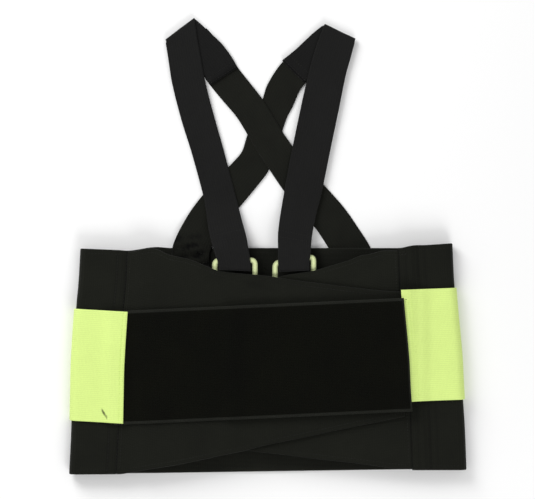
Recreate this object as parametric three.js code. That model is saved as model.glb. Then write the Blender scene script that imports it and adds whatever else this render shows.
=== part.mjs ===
// Lumbar lifting belt with suspenders, closed, lying on its back with the straps laid out above it.
// Millimetres. X runs across the belt, Y towards the shoulders and Z up from the surface.
// While the pieces are made, X is 0 on the belt's centre line and Y is 0 at its top edge.
// Left and right are the viewer's, looking down on the front.

import * as THREE from 'three';

// Belt body
const BELT_WIDTH = 400;
const BELT_HEIGHT = 228;
const PANEL_WALL = 2.4;
const HOLLOW = 8;
const FRONT_SWELL = 2;
const SEAM_GAP = 0.7;
const PLY_GAP = 0.42;
const SIDE_PANEL_FRONT = { left: 48, right: 55 };
const SIDE_PANEL_BACK = 46;
const FLAP_REACH = { left: 137, right: 122 };

// Side pulls: the bands round the side folds
const BAND_WALL = 1.6;
const BAND_HEIGHT = 112.5;
const BAND_BACK = 110;
const BAND_FRONT = { left: 52.5, right: 54.5 };
const BAND_DROP = { left: 61, right: 40 };
const BAND_TILT = { left: -3.2, right: 2 };

// Closure tabs
const TAB_WALL = 2.2;
const TAB_HEIGHT = 114;
const TAB_TILT = 2.66;
const TAB_LAP = 9;
const TAB_OVERLAP = 2;
const UNDER_TAB_HEIGHT = 100;
const UNDER_TAB_REACH = 32;
const UNDER_TAB_RAISE = 4;

// Suspenders
const STRAP_WALL = 1.5;
const STRAP_WIDTH = 38;
const SHOULDER_RISE = { left: 221, right: 218.5 };
const SEWN_DEPTH = 20;
const FOOT_CLEARANCE = 2.5;
const TURN_BACK = 42;

// Strap loops, with the height of each leg's top above the flap's edge
const LOOP_WIDTH = 5.5;
const LOOP_WALL = 2;
const LOOP_CORNER = 4.5;
const LOOP_CLEARANCE = 1.2;
const LOOP_SEWN = 6;
const LOOP_RISE = {
  left: { first: 9, second: 14.5 },
  right: { first: 15, second: 14 },
};

// How a wall climbs over the edge of one beneath it
const DRAPE = 12;
const DRAPE_MARGIN = 4;

// Spacing of the lines of the meshes
const COLUMN_SPACING = 24;
const ROW_SPACING = 32;
const LEAST_SPACING = 2.5;

// Outline of the flattened belt. across: share of half the width. top, bottom: share of the height
// by which the edge stands above its nominal line.
const BELT_EDGES = [
  { across: -1, top: 0, bottom: 0.002 },
  { across: -0.75, top: -0.009, bottom: 0.0035 },
  { across: -0.71, top: -0.0115, bottom: 0.004 },
  { across: -0.56, top: 0.0044, bottom: 0.005 },
  { across: -0.48, top: 0, bottom: 0.006 },
  { across: 0, top: 0, bottom: 0.0125 },
  { across: 0.66, top: 0, bottom: 0.021 },
  { across: 0.73, top: 0.0115, bottom: 0.0215 },
  { across: 0.8, top: 0.0135, bottom: 0.0215 },
  { across: 0.94, top: 0.022, bottom: 0.0215 },
];

// Side folds. down: share of the height. left, right: share of half the width.
const SIDE_FOLDS = [
  { down: 0, left: 0.943, right: 0.929 },
  { down: 0.14, left: 0.952, right: 0.936 },
  { down: 0.25, left: 0.963, right: 0.944 },
  { down: 0.5, left: 0.981, right: 0.97 },
  { down: 0.65, left: 0.985, right: 0.979 },
  { down: 0.8, left: 0.989, right: 0.991 },
  { down: 1, left: 1, right: 1 },
];

// Tapered edges of the front flaps, as shares of half the width and of the height
const FLAP_EDGES = {
  left: [
    { across: -0.733, top: 0.008, bottom: 1 },
    { across: -0.592, top: 0.003, bottom: 0.978 },
    { across: -0.4915, top: 0.031, bottom: 0.966 },
    { across: -0.391, top: 0.0505, bottom: 0.95 },
    { across: -0.3005, top: 0.083, bottom: 0.934 },
    { across: -0.245, top: 0.1018, bottom: 0.923 },
    { across: -0.14, top: 0.113, bottom: 0.906 },
    { across: -0.014, top: 0.1228, bottom: 0.879 },
    { across: 0.112, top: 0.1404, bottom: 0.858 },
    { across: 0.413, top: 0.1754, bottom: 0.804 },
    { across: 0.564, top: 0.1908, bottom: 0.779 },
    { across: 0.689, top: 0.1974, bottom: 0.758 },
  ],
  right: [
    { across: -0.642, top: 0.2035, bottom: 0.819 },
    { across: -0.275, top: 0.1775, bottom: 0.879 },
    { across: -0.064, top: 0.1575, bottom: 0.906 },
    { across: 0.086, top: 0.122, bottom: 0.924 },
    { across: 0.162, top: 0.111, bottom: 0.933 },
    { across: 0.227, top: 0.102, bottom: 0.941 },
    { across: 0.313, top: 0.08, bottom: 0.951 },
    { across: 0.413, top: 0.0533, bottom: 0.962 },
    { across: 0.463, top: 0.0345, bottom: 0.968 },
    { across: 0.514, top: 0.0265, bottom: 0.975 },
    { across: 0.589, top: 0.011, bottom: 0.985 },
    { across: 0.689, top: 0.011, bottom: 0.9955 },
  ],
};

// Front straps from the foot, up 0, to the shoulder fold, up 1. across: share of half the belt's
// width. width: share of the strap's. turn: degrees from X of the line across the strap.
// plies: straps beneath. climb: share of the way from them up to the foot's level.
const FRONT_STRAPS = {
  left: [
    { up: 0, across: -0.165, width: 0.85, turn: -2.7, plies: 1, climb: 1 },
    { up: 0.037, across: -0.169, width: 0.87, turn: 0, plies: 1, climb: 1 },
    { up: 0.074, across: -0.18, width: 0.9, turn: 3, plies: 1, climb: 1 },
    { up: 0.128, across: -0.195, width: 0.93, turn: 10, plies: 1, climb: 0.72 },
    { up: 0.19, across: -0.214, width: 0.91, turn: 13, plies: 1, climb: 0.34 },
    { up: 0.26, across: -0.231, width: 0.86, turn: 13, plies: 1, climb: 0.08 },
    { up: 0.313, across: -0.245, width: 0.83, turn: 13, plies: 1, climb: 0 },
    { up: 0.498, across: -0.305, width: 0.84, turn: 14, plies: 1, climb: 0 },
    { up: 0.642, across: -0.357, width: 0.865, turn: 14, plies: 1.2, climb: 0 },
    { up: 0.786, across: -0.401, width: 0.87, turn: 14, plies: 1.8, climb: 0 },
    { up: 0.877, across: -0.42, width: 0.87, turn: 20, plies: 2, climb: 0 },
    { up: 0.942, across: -0.433, width: 0.9, turn: 29, plies: 2, climb: 0 },
    { up: 1, across: -0.444, width: 0.963, turn: 37, plies: 2, climb: 0 },
  ],
  right: [
    { up: 0, across: 0.133, width: 0.807, turn: 2.7, plies: 1, climb: 1 },
    { up: 0.037, across: 0.13, width: 0.83, turn: 0, plies: 1, climb: 1 },
    { up: 0.074, across: 0.133, width: 0.86, turn: -3, plies: 1, climb: 1 },
    { up: 0.137, across: 0.135, width: 0.9, turn: -10, plies: 1, climb: 0.68 },
    { up: 0.19, across: 0.143, width: 0.92, turn: -12, plies: 1, climb: 0.36 },
    { up: 0.254, across: 0.157, width: 0.94, turn: -12, plies: 1.2, climb: 0.1 },
    { up: 0.33, across: 0.177, width: 0.98, turn: -12, plies: 2, climb: 0 },
    { up: 0.511, across: 0.22, width: 1, turn: -12, plies: 2, climb: 0 },
    { up: 0.67, across: 0.26, width: 1, turn: -12, plies: 2, climb: 0 },
    { up: 0.836, across: 0.304, width: 0.97, turn: -14, plies: 2, climb: 0 },
    { up: 0.919, across: 0.333, width: 0.96, turn: -19, plies: 2, climb: 0 },
    { up: 1, across: 0.365, width: 0.91, turn: -25.8, plies: 2, climb: 0 },
  ],
};

// Tails of the front straps beyond the shoulder fold, laid over the back straps' upper ends
const STRAP_TAILS = {
  left: [
    { along: 0, across: -0.444, up: 1, width: 0.963, turn: 37 },
    { along: 0.25, across: -0.371, up: 0.951, width: 0.9, turn: 36 },
    { along: 0.5, across: -0.3, up: 0.897, width: 0.89, turn: 35 },
    { along: 0.75, across: -0.25, up: 0.844, width: 0.87, turn: 34 },
    { along: 1, across: -0.22, up: 0.803, width: 0.857, turn: 33.5 },
  ],
  right: [
    { along: 0, across: 0.365, up: 1, width: 0.91, turn: -25.8 },
    { along: 0.3, across: 0.2975, up: 0.952, width: 0.9, turn: -33 },
    { along: 0.65, across: 0.207, up: 0.882, width: 0.88, turn: -40 },
    { along: 1, across: 0.127, up: 0.832, width: 0.83, turn: -45 },
  ],
};

// Back straps from the end sewn to the belt, up 0, to the upper end. They cross on the way.
// panels: belt walls beneath.
const BACK_STRAPS = {
  left: [
    { up: 0, across: 0.46, width: 0.95, turn: 12, plies: 0, panels: 0 },
    { up: 0.058, across: 0.433, width: 0.95, turn: 26, plies: 0, panels: 0 },
    { up: 0.129, across: 0.378, width: 0.95, turn: 35, plies: 0, panels: 0 },
    { up: 0.206, across: 0.315, width: 0.935, turn: 37, plies: 0, panels: 0 },
    { up: 0.29, across: 0.227, width: 0.925, turn: 38, plies: 0, panels: 0 },
    { up: 0.363, across: 0.149, width: 0.885, turn: 38, plies: 0.05, panels: 0 },
    { up: 0.454, across: 0.0714, width: 0.86, turn: 35, plies: 0.95, panels: 0 },
    { up: 0.5375, across: 0.0035, width: 0.84, turn: 31, plies: 1, panels: 0 },
    { up: 0.608, across: -0.0467, width: 0.83, turn: 31, plies: 1, panels: 0 },
    { up: 0.671, across: -0.0945, width: 0.835, turn: 33, plies: 1, panels: 0 },
    { up: 0.733, across: -0.155, width: 0.86, turn: 33, plies: 0.5, panels: 0 },
    { up: 0.8, across: -0.22, width: 0.87, turn: 33.5, plies: 0, panels: 0 },
    { up: 0.892, across: -0.3, width: 0.87, turn: 35, plies: 0, panels: 0 },
    { up: 0.9625, across: -0.376, width: 0.87, turn: 36, plies: 0, panels: 0 },
  ],
  right: [
    { up: 0, across: -0.391, width: 1.05, turn: -5, plies: 0, panels: 1 },
    { up: 0.075, across: -0.386, width: 1, turn: -12, plies: 0, panels: 1 },
    { up: 0.12, across: -0.366, width: 0.98, turn: -19, plies: 0, panels: 1 },
    { up: 0.16, across: -0.341, width: 0.96, turn: -27, plies: 0, panels: 0.5 },
    { up: 0.2, across: -0.313, width: 0.95, turn: -33.5, plies: 0, panels: 0 },
    { up: 0.258, across: -0.26, width: 0.95, turn: -44, plies: 0, panels: 0 },
    { up: 0.333, across: -0.18, width: 0.93, turn: -46, plies: 0, panels: 0 },
    { up: 0.394, across: -0.117, width: 0.9, turn: -43, plies: 0, panels: 0 },
    { up: 0.45, across: -0.0643, width: 0.87, turn: -36, plies: 0, panels: 0 },
    { up: 0.525, across: -0.0342, width: 0.85, turn: -30, plies: 0, panels: 0 },
    { up: 0.6125, across: 0.006, width: 0.83, turn: -33, plies: 0, panels: 0 },
    { up: 0.671, across: 0.0337, width: 0.81, turn: -36, plies: 0, panels: 0 },
    { up: 0.727, across: 0.0613, width: 0.9, turn: -43, plies: 0, panels: 0 },
    { up: 0.821, across: 0.1266, width: 0.83, turn: -45, plies: 0, panels: 0 },
    { up: 0.871, across: 0.207, width: 0.88, turn: -40, plies: 0, panels: 0 },
    { up: 0.946, across: 0.2925, width: 0.9, turn: -33, plies: 0, panels: 0 },
  ],
};

const COLOURS = {
  elastic: 0x1e201b,
  inner: 0x191b15,
  pile: 0x11120d,
  lime: 0xddf691,
  webbing: 0x212121,
};

// Worked out from the sizes above
const HALF_WIDTH = BELT_WIDTH / 2;
const PANEL_STEP = PANEL_WALL + PLY_GAP;
const BAND_STEP = BAND_WALL + PLY_GAP;
const TAB_STEP = TAB_WALL + PLY_GAP;
const STRAP_STEP = STRAP_WALL + PLY_GAP;
const FRONT_FLOOR = BAND_STEP + PANEL_WALL + HOLLOW;
const FOOT_RADIUS = STRAP_WALL / 2 + PLY_GAP + LOOP_WALL / 2;
const SIDES = {
  left: { name: 'left', sign: -1 },
  right: { name: 'right', sign: 1 },
};

const { clamp, degToRad, lerp } = THREE.MathUtils;

function ease(share) {
  const part = clamp(share, 0, 1);
  return part * part * (3 - 2 * part);
}

// Smooth value of one column of a table at a place along it
function follow(table, place, column, at) {
  const last = table.length - 1;
  if (at <= table[0][place]) return table[0][column];
  if (at >= table[last][place]) return table[last][column];
  const above = table.findIndex((row) => row[place] > at);
  const slopeAt = (index) => {
    const here = table[index][column];
    const before = table[Math.max(index - 1, 0)];
    const after = table[Math.min(index + 1, last)];
    const turns = (here - before[column]) * (after[column] - here) <= 0;
    if (turns && index > 0 && index < last) return 0;
    return (after[column] - before[column]) / (after[place] - before[place]);
  };
  const low = table[above - 1];
  const high = table[above];
  const span = high[place] - low[place];
  const t = (at - low[place]) / span;
  const start = (2 * t ** 3 - 3 * t ** 2 + 1) * low[column] + (3 * t ** 2 - 2 * t ** 3) * high[column];
  const bend = (t ** 3 - 2 * t ** 2 + t) * slopeAt(above - 1) + (t ** 3 - t ** 2) * slopeAt(above);
  return start + bend * span;
}

// 1 over a wall's span, easing to 0 past each of its edges
function covered(at, from, to) {
  const before = (at - (from - DRAPE_MARGIN - DRAPE)) / DRAPE;
  const after = (to + DRAPE_MARGIN + DRAPE - at) / DRAPE;
  return ease(before) * ease(after);
}

// Lines down the slope beside an edge that a wall above climbs over
function slopeLines(edge, direction) {
  return [0, 1, 2, 3].map((step) => edge + direction * (DRAPE_MARGIN + (DRAPE * step) / 3));
}

// Even lines from one end to the other with the extra ones between them
function meshLines(from, to, spacing, extras) {
  const count = Math.ceil((to - from) / spacing);
  const even = Array.from({ length: count - 1 }, (_, i) => lerp(from, to, (i + 1) / count));
  const inside = extras.filter((at) => at > from + LEAST_SPACING && at < to - LEAST_SPACING);
  const clear = even.filter((at) => inside.every((extra) => Math.abs(extra - at) > 2 * LEAST_SPACING));
  const sorted = [...inside, ...clear].sort((a, b) => a - b);
  const spaced = sorted.filter((at, i) => i === 0 || at - sorted[i - 1] > LEAST_SPACING / 2);
  return [from, ...spaced, to];
}

// Closed wall about a grid of points on its middle surface, given row by row
function clothWall(grid, thickness) {
  const rows = grid.length;
  const columns = grid[0].length;
  const positions = [];
  const indices = [];
  const along = new THREE.Vector3();
  const down = new THREE.Vector3();
  const normalAt = (row, column) => {
    const line = grid[row];
    along.subVectors(line[Math.min(column + 1, columns - 1)], line[Math.max(column - 1, 0)]);
    down.subVectors(grid[Math.min(row + 1, rows - 1)][column], grid[Math.max(row - 1, 0)][column]);
    return new THREE.Vector3().crossVectors(along, down).normalize();
  };
  for (const half of [thickness / 2, -thickness / 2]) {
    for (let row = 0; row < rows; row += 1) {
      for (let column = 0; column < columns; column += 1) {
        const point = grid[row][column].clone().addScaledVector(normalAt(row, column), half);
        positions.push(point.x, point.y, point.z);
      }
    }
  }
  const upper = (row, column) => row * columns + column;
  const lower = (row, column) => rows * columns + upper(row, column);
  const quad = (a, b, c, d) => indices.push(a, b, c, a, c, d);
  for (let row = 0; row < rows - 1; row += 1) {
    for (let column = 0; column < columns - 1; column += 1) {
      const [i, j] = [row + 1, column + 1];
      quad(upper(row, column), upper(row, j), upper(i, j), upper(i, column));
      quad(lower(row, column), lower(i, column), lower(i, j), lower(row, j));
    }
  }
  const lastRow = rows - 1;
  const lastColumn = columns - 1;
  for (let column = 0; column < lastColumn; column += 1) {
    const next = column + 1;
    quad(upper(0, next), upper(0, column), lower(0, column), lower(0, next));
    quad(upper(lastRow, column), upper(lastRow, next), lower(lastRow, next), lower(lastRow, column));
  }
  for (let row = 0; row < lastRow; row += 1) {
    const next = row + 1;
    quad(upper(row, 0), upper(next, 0), lower(next, 0), lower(row, 0));
    quad(upper(next, lastColumn), upper(row, lastColumn), lower(row, lastColumn), lower(next, lastColumn));
  }
  const geometry = new THREE.BufferGeometry();
  geometry.setAttribute('position', new THREE.Float32BufferAttribute(positions, 3));
  geometry.setIndex(indices);
  geometry.computeVertexNormals();
  return geometry;
}

function piece(name, geometry, color, roughness) {
  const material = new THREE.MeshStandardMaterial({ color, roughness, metalness: 0 });
  const mesh = new THREE.Mesh(geometry, material);
  mesh.name = name;
  return mesh;
}

// Outline of the belt
const topEdge = (x) => BELT_HEIGHT * follow(BELT_EDGES, 'across', 'top', x / HALF_WIDTH);
const bottomEdge = (x) => BELT_HEIGHT * (follow(BELT_EDGES, 'across', 'bottom', x / HALF_WIDTH) - 1);
const heightAt = (x, down) => lerp(topEdge(x), bottomEdge(x), down);
const foldReach = (side, down) => HALF_WIDTH * follow(SIDE_FOLDS, 'down', side.name, down);
function foldAt(side, y) {
  const x = side.sign * HALF_WIDTH;
  return foldReach(side, (topEdge(x) - y) / (topEdge(x) - bottomEdge(x)));
}

// Seams between the side panels and the flaps, and the ends of the bands, follow the side folds
const frontSeam = (side, down) => side.sign * (foldReach(side, down) - SIDE_PANEL_FRONT[side.name]);
const backSeam = (side, down) => side.sign * (foldReach(side, down) - SIDE_PANEL_BACK);
const bandEnd = (side, y) => side.sign * (foldAt(side, y) - BAND_FRONT[side.name]);

// Upper edge of a band, which drops from the belt's top at the side fold and runs on at its tilt
function bandTop(side, x) {
  const drop = BAND_DROP[side.name];
  const fold = side.sign * foldAt(side, -drop);
  return (x - fold) * Math.tan(degToRad(BAND_TILT[side.name])) - drop;
}
const bandMiddle = (side, x) => bandTop(side, x) - BAND_HEIGHT / 2;

// Middle line of the upper tab, which starts in line with the left band and rises at its own tilt
function tabMiddle(x) {
  const start = bandEnd(SIDES.left, -BAND_DROP.left - BAND_HEIGHT / 2);
  return bandMiddle(SIDES.left, start) + (x - start) * Math.tan(degToRad(TAB_TILT));
}

const flapEdge = (side, x, edge) =>
  heightAt(x, follow(FLAP_EDGES[side.name], 'across', edge, x / HALF_WIDTH));

// Where the edges of the hidden walls lie under the front
const tabStart = (y) => bandEnd(SIDES.left, y) - TAB_LAP;
const underTabStart = (y) => bandEnd(SIDES.right, y) + TAB_LAP;
const MIDDLE_OF_TABS = tabMiddle(0);
const EDGES = {
  flapRightTip: -FLAP_REACH.right,
  flapLeftTip: FLAP_REACH.left,
  tabStart: tabStart(MIDDLE_OF_TABS),
  underTabTip: -UNDER_TAB_REACH,
  underTabStart: underTabStart(MIDDLE_OF_TABS),
  bandRightEnd: bandEnd(SIDES.right, MIDDLE_OF_TABS),
};

// Undersides of the front walls, from what lies beneath each
const swell = (x) => FRONT_SWELL * Math.max(1 - (x / HALF_WIDTH) ** 2, 0) ** 2;
const floorAt = (x) => FRONT_FLOOR + swell(x);
const rightFlapUnder = (x) => PANEL_STEP * covered(x, EDGES.flapRightTip, Infinity);
const leftFlapUnder = (x) => PANEL_STEP * covered(x, -Infinity, EDGES.flapLeftTip);
const underTabUnder = (x) => TAB_STEP * covered(x, EDGES.underTabTip, EDGES.underTabStart);
const UNDERSIDES = {
  side: floorAt,
  flapRight: floorAt,
  flapLeft: (x) => floorAt(x) + rightFlapUnder(x),
  bandLeft: (x) => floorAt(x) + PANEL_STEP + TAB_STEP * covered(x, EDGES.tabStart, Infinity),
  underTab: (x) => floorAt(x) + PANEL_STEP + leftFlapUnder(x),
  bandRight: (x) => floorAt(x) + PANEL_STEP + leftFlapUnder(x) + underTabUnder(x),
  tab: (x) => floorAt(x) + PANEL_STEP + rightFlapUnder(x) + underTabUnder(x)
    + BAND_STEP * covered(x, EDGES.bandRightEnd, Infinity),
};

// Columns that all front walls share, so that they climb over the same edges alike
const FRONT_COLUMNS = meshLines(-HALF_WIDTH, HALF_WIDTH, COLUMN_SPACING, [
  ...slopeLines(EDGES.flapRightTip, -1),
  ...slopeLines(EDGES.tabStart, -1),
  ...slopeLines(EDGES.underTabTip, -1),
  ...slopeLines(EDGES.bandRightEnd, -1),
  ...slopeLines(EDGES.flapLeftTip, 1),
  ...slopeLines(EDGES.underTabStart, 1),
]);

// A front wall between two end lines, each given by its X from the top row, 0, to the bottom row, 1
function frontWall({ start, end, top, bottom, underside, wall, rows }) {
  const first = Math.max(start(0), start(1)) + LEAST_SPACING / 2;
  const last = Math.min(end(0), end(1)) - LEAST_SPACING / 2;
  const inner = FRONT_COLUMNS.filter((x) => x > first && x < last).map((x) => () => x);
  const columns = [start, ...inner, end];
  const grid = Array.from({ length: rows + 1 }, (_, row) => {
    const share = row / rows;
    return columns.map((column) => {
      const x = column(share);
      return new THREE.Vector3(x, lerp(top(x), bottom(x), share), underside(x) + wall / 2);
    });
  });
  return clothWall(grid, wall);
}

// A strap's wall from lines across it, each with its middle, its turn and its width
function acrossLine(middle, turn, width) {
  const half = new THREE.Vector3(Math.cos(turn), Math.sin(turn), 0).multiplyScalar(width / 2);
  return [-1, 0, 1].map((edge) => middle.clone().addScaledVector(half, edge));
}

// Back straps
function backStrapGrid(side, steps) {
  const table = BACK_STRAPS[side.name];
  const top = table[table.length - 1].up;
  return Array.from({ length: steps + 1 }, (_, step) => {
    const up = (top * step) / steps;
    const value = (column) => follow(table, 'up', column, up);
    const x = HALF_WIDTH * value('across');
    const y = lerp(-SEWN_DEPTH, SHOULDER_RISE[side.name], up);
    const plies = Math.max(value('plies'), 0);
    const z = STRAP_WALL / 2 + STRAP_STEP * plies + PANEL_STEP * value('panels');
    return acrossLine(new THREE.Vector3(x, y, z), degToRad(value('turn')), STRAP_WIDTH * value('width'));
  });
}

// Stretch of the left back strap that the back panel lies on
const BACK_STRAP_STEPS = 34;
const LEFT_BACK_GRID = backStrapGrid(SIDES.left, BACK_STRAP_STEPS);
const STRAP_UNDER_PANEL = new THREE.Box3().setFromPoints(LEFT_BACK_GRID.flat().filter((point) => point.y < 0));

// How far the back is lifted off the surface by the bands and the strap beneath it
function bandSpan(side, x, y) {
  const inner = side.sign * (foldAt(side, y) - BAND_BACK);
  const across = side.sign < 0 ? covered(x, -Infinity, inner) : covered(x, inner, Infinity);
  return across * covered(y, bandTop(side, x) - BAND_HEIGHT, bandTop(side, x));
}
function liftAt(x, y) {
  const { min, max } = STRAP_UNDER_PANEL;
  const strap = covered(x, min.x, max.x) * covered(y, min.y, Infinity);
  const bands = bandSpan(SIDES.left, x, y) + bandSpan(SIDES.right, x, y);
  return BAND_STEP * bands + STRAP_STEP * strap;
}

// Rows of the back walls, as shares of the height, closer where they climb over the bands. Each
// band is met at the places given by their distance from its side fold.
function backRows(sides, places, extras) {
  const climbs = sides.flatMap((side) => places.flatMap((place) => {
    const top = -bandTop(side, side.sign * (foldAt(side, 0) - place));
    return [...slopeLines(top, -1), ...slopeLines(top + BAND_HEIGHT, 1)];
  }));
  return meshLines(0, BELT_HEIGHT, ROW_SPACING, [...climbs, ...extras]).map((drop) => drop / BELT_HEIGHT);
}

function backPanel() {
  const { left, right } = SIDES;
  const strapRows = slopeLines(-STRAP_UNDER_PANEL.min.y, 1);
  const inner = (side) => side.sign * (foldReach(side, 0.5) - BAND_BACK);
  const columns = meshLines(backSeam(left, 0), backSeam(right, 0), COLUMN_SPACING, [
    ...slopeLines(inner(left), 1),
    ...slopeLines(inner(right), -1),
    ...slopeLines(STRAP_UNDER_PANEL.min.x, -1),
    ...slopeLines(STRAP_UNDER_PANEL.max.x, 1),
  ]);
  const lastColumn = columns.length - 1;
  const rows = backRows([left, right], [SIDE_PANEL_BACK, BAND_BACK], strapRows);
  const grid = rows.map((down) => columns.map((column, i) => {
    let x = column;
    if (i === 0) x = backSeam(left, down) + SEAM_GAP / 2;
    if (i === lastColumn) x = backSeam(right, down) - SEAM_GAP / 2;
    const y = heightAt(x, down);
    return new THREE.Vector3(x, y, liftAt(x, y) + PANEL_WALL / 2);
  }));
  return piece('back_panel', clothWall(grid, PANEL_WALL), COLOURS.inner, 0.95);
}

// Radius and centre of a wall's bend round a side fold
function foldArc({ side, reach, wall, backZ, frontZ }) {
  const radius = (frontZ(side.sign * reach) - backZ) / 2;
  return { radius, centre: side.sign * (reach - radius - wall / 2) };
}

// One turn of a wall round a side fold: X and Z from the end at the back to the end at the front
function foldProfile(fold, frontPlaces) {
  const BEND_STEPS = 8;
  const { side, backEnd, backZ, frontZ } = fold;
  const { radius, centre } = foldArc(fold);
  const middle = backZ + radius;
  const profile = [0, 0.5].map((share) => [lerp(backEnd, centre, share), backZ]);
  for (let step = 0; step <= BEND_STEPS; step += 1) {
    const angle = Math.PI * (step / BEND_STEPS - 0.5);
    profile.push([centre + side.sign * radius * Math.cos(angle), middle + radius * Math.sin(angle)]);
  }
  for (const x of frontPlaces(centre)) profile.push([x, frontZ(x)]);
  return profile;
}

function sidePanel(side) {
  const grid = backRows([side], [0, SIDE_PANEL_BACK], []).map((down) => {
    const reach = foldReach(side, down);
    const y = heightAt(side.sign * reach, down);
    const end = frontSeam(side, down) + (side.sign * SEAM_GAP) / 2;
    const fold = {
      side,
      reach,
      wall: PANEL_WALL,
      backEnd: backSeam(side, down) + (side.sign * SEAM_GAP) / 2,
      backZ: liftAt(side.sign * reach, y) + PANEL_WALL / 2,
      frontZ: (x) => UNDERSIDES.side(x) + PANEL_WALL / 2,
    };
    const profile = foldProfile(fold, (centre) => [lerp(centre, end, 0.5), end]);
    return profile.map(([x, z]) => new THREE.Vector3(x, heightAt(x, down), z));
  });
  if (side.sign > 0) grid.reverse();
  return piece(`side_panel_${side.name}`, clothWall(grid, PANEL_WALL), COLOURS.elastic, 0.9);
}

function frontFlap(side) {
  const left = side.sign < 0;
  const seam = (share) => frontSeam(side, share) - (side.sign * SEAM_GAP) / 2;
  const tip = () => -side.sign * FLAP_REACH[side.name];
  const geometry = frontWall({
    start: left ? seam : tip,
    end: left ? tip : seam,
    top: (x) => flapEdge(side, x, 'top'),
    bottom: (x) => flapEdge(side, x, 'bottom'),
    underside: left ? UNDERSIDES.flapLeft : UNDERSIDES.flapRight,
    wall: PANEL_WALL,
    rows: 5,
  });
  return piece(`front_flap_${side.name}`, geometry, COLOURS.elastic, 0.9);
}

// Side pulls: each band runs from its end on the back round the fold to the seam with its tab
function sidePull(side) {
  const ROWS = 4;
  const underside = side.sign < 0 ? UNDERSIDES.bandLeft : UNDERSIDES.bandRight;
  const folds = Array.from({ length: ROWS + 1 }, (_, row) => {
    const drop = (BAND_HEIGHT * row) / ROWS;
    const y = -BAND_DROP[side.name] - drop;
    return {
      side,
      drop,
      reach: foldAt(side, y) + BAND_STEP,
      wall: BAND_WALL,
      backEnd: side.sign * (foldAt(side, y) - BAND_BACK),
      frontEnd: bandEnd(side, y),
      backZ: BAND_WALL / 2,
      frontZ: (x) => underside(x) + BAND_WALL / 2,
    };
  });
  // Columns that lie in the flat front part of every row
  const nearest = (reaches) => side.sign * Math.min(...reaches.map((x) => side.sign * x));
  const furthest = (reaches) => side.sign * Math.max(...reaches.map((x) => side.sign * x));
  const limits = [
    nearest(folds.map((fold) => foldArc(fold).centre)),
    furthest(folds.map((fold) => fold.frontEnd)),
  ];
  const [low, high] = [Math.min(...limits), Math.max(...limits)];
  const inner = FRONT_COLUMNS.filter((x) => x > low + LEAST_SPACING && x < high - LEAST_SPACING);
  if (side.sign > 0) inner.reverse();
  const grid = folds.map((fold) => {
    const between = lerp(inner[inner.length - 1], fold.frontEnd, 0.5);
    return foldProfile(fold, () => [...inner, between, fold.frontEnd])
      .map(([x, z]) => new THREE.Vector3(x, bandTop(side, x) - fold.drop, z));
  });
  if (side.sign > 0) grid.reverse();
  return piece(`side_pull_${side.name}`, clothWall(grid, BAND_WALL), COLOURS.lime, 0.8);
}

function closureTabs() {
  const upperEdges = {
    top: (x) => tabMiddle(x) + TAB_HEIGHT / 2,
    bottom: (x) => tabMiddle(x) - TAB_HEIGHT / 2,
  };
  const lowerEdges = {
    top: (x) => tabMiddle(x) + UNDER_TAB_RAISE + UNDER_TAB_HEIGHT / 2,
    bottom: (x) => tabMiddle(x) + UNDER_TAB_RAISE - UNDER_TAB_HEIGHT / 2,
  };
  const levelOf = (edges, x, share) => lerp(edges.top(x), edges.bottom(x), share);
  const upper = frontWall({
    ...upperEdges,
    start: (share) => tabStart(levelOf(upperEdges, EDGES.tabStart, share)),
    end: (share) => bandEnd(SIDES.right, levelOf(upperEdges, EDGES.bandRightEnd, share)) + TAB_OVERLAP,
    underside: UNDERSIDES.tab,
    wall: TAB_WALL,
    rows: 3,
  });
  const lower = frontWall({
    ...lowerEdges,
    start: () => EDGES.underTabTip,
    end: (share) => underTabStart(levelOf(lowerEdges, EDGES.underTabStart, share)),
    underside: UNDERSIDES.underTab,
    wall: TAB_WALL,
    rows: 3,
  });
  return [
    piece('closure_tab_left', upper, COLOURS.pile, 1),
    piece('closure_tab_right', lower, COLOURS.pile, 1),
  ];
}

// Foot of a front strap: where its fold round the loop lies beside the flap's edge
function footOf(side) {
  const [foot] = FRONT_STRAPS[side.name];
  const x = HALF_WIDTH * foot.across;
  const underside = side.sign < 0 ? UNDERSIDES.flapLeft : UNDERSIDES.flapRight;
  return {
    x,
    y: flapEdge(side, x, 'top') + FOOT_CLEARANCE,
    z: underside(x) + PANEL_WALL / 2,
    halfWidth: (STRAP_WIDTH * foot.width) / 2,
  };
}

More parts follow.
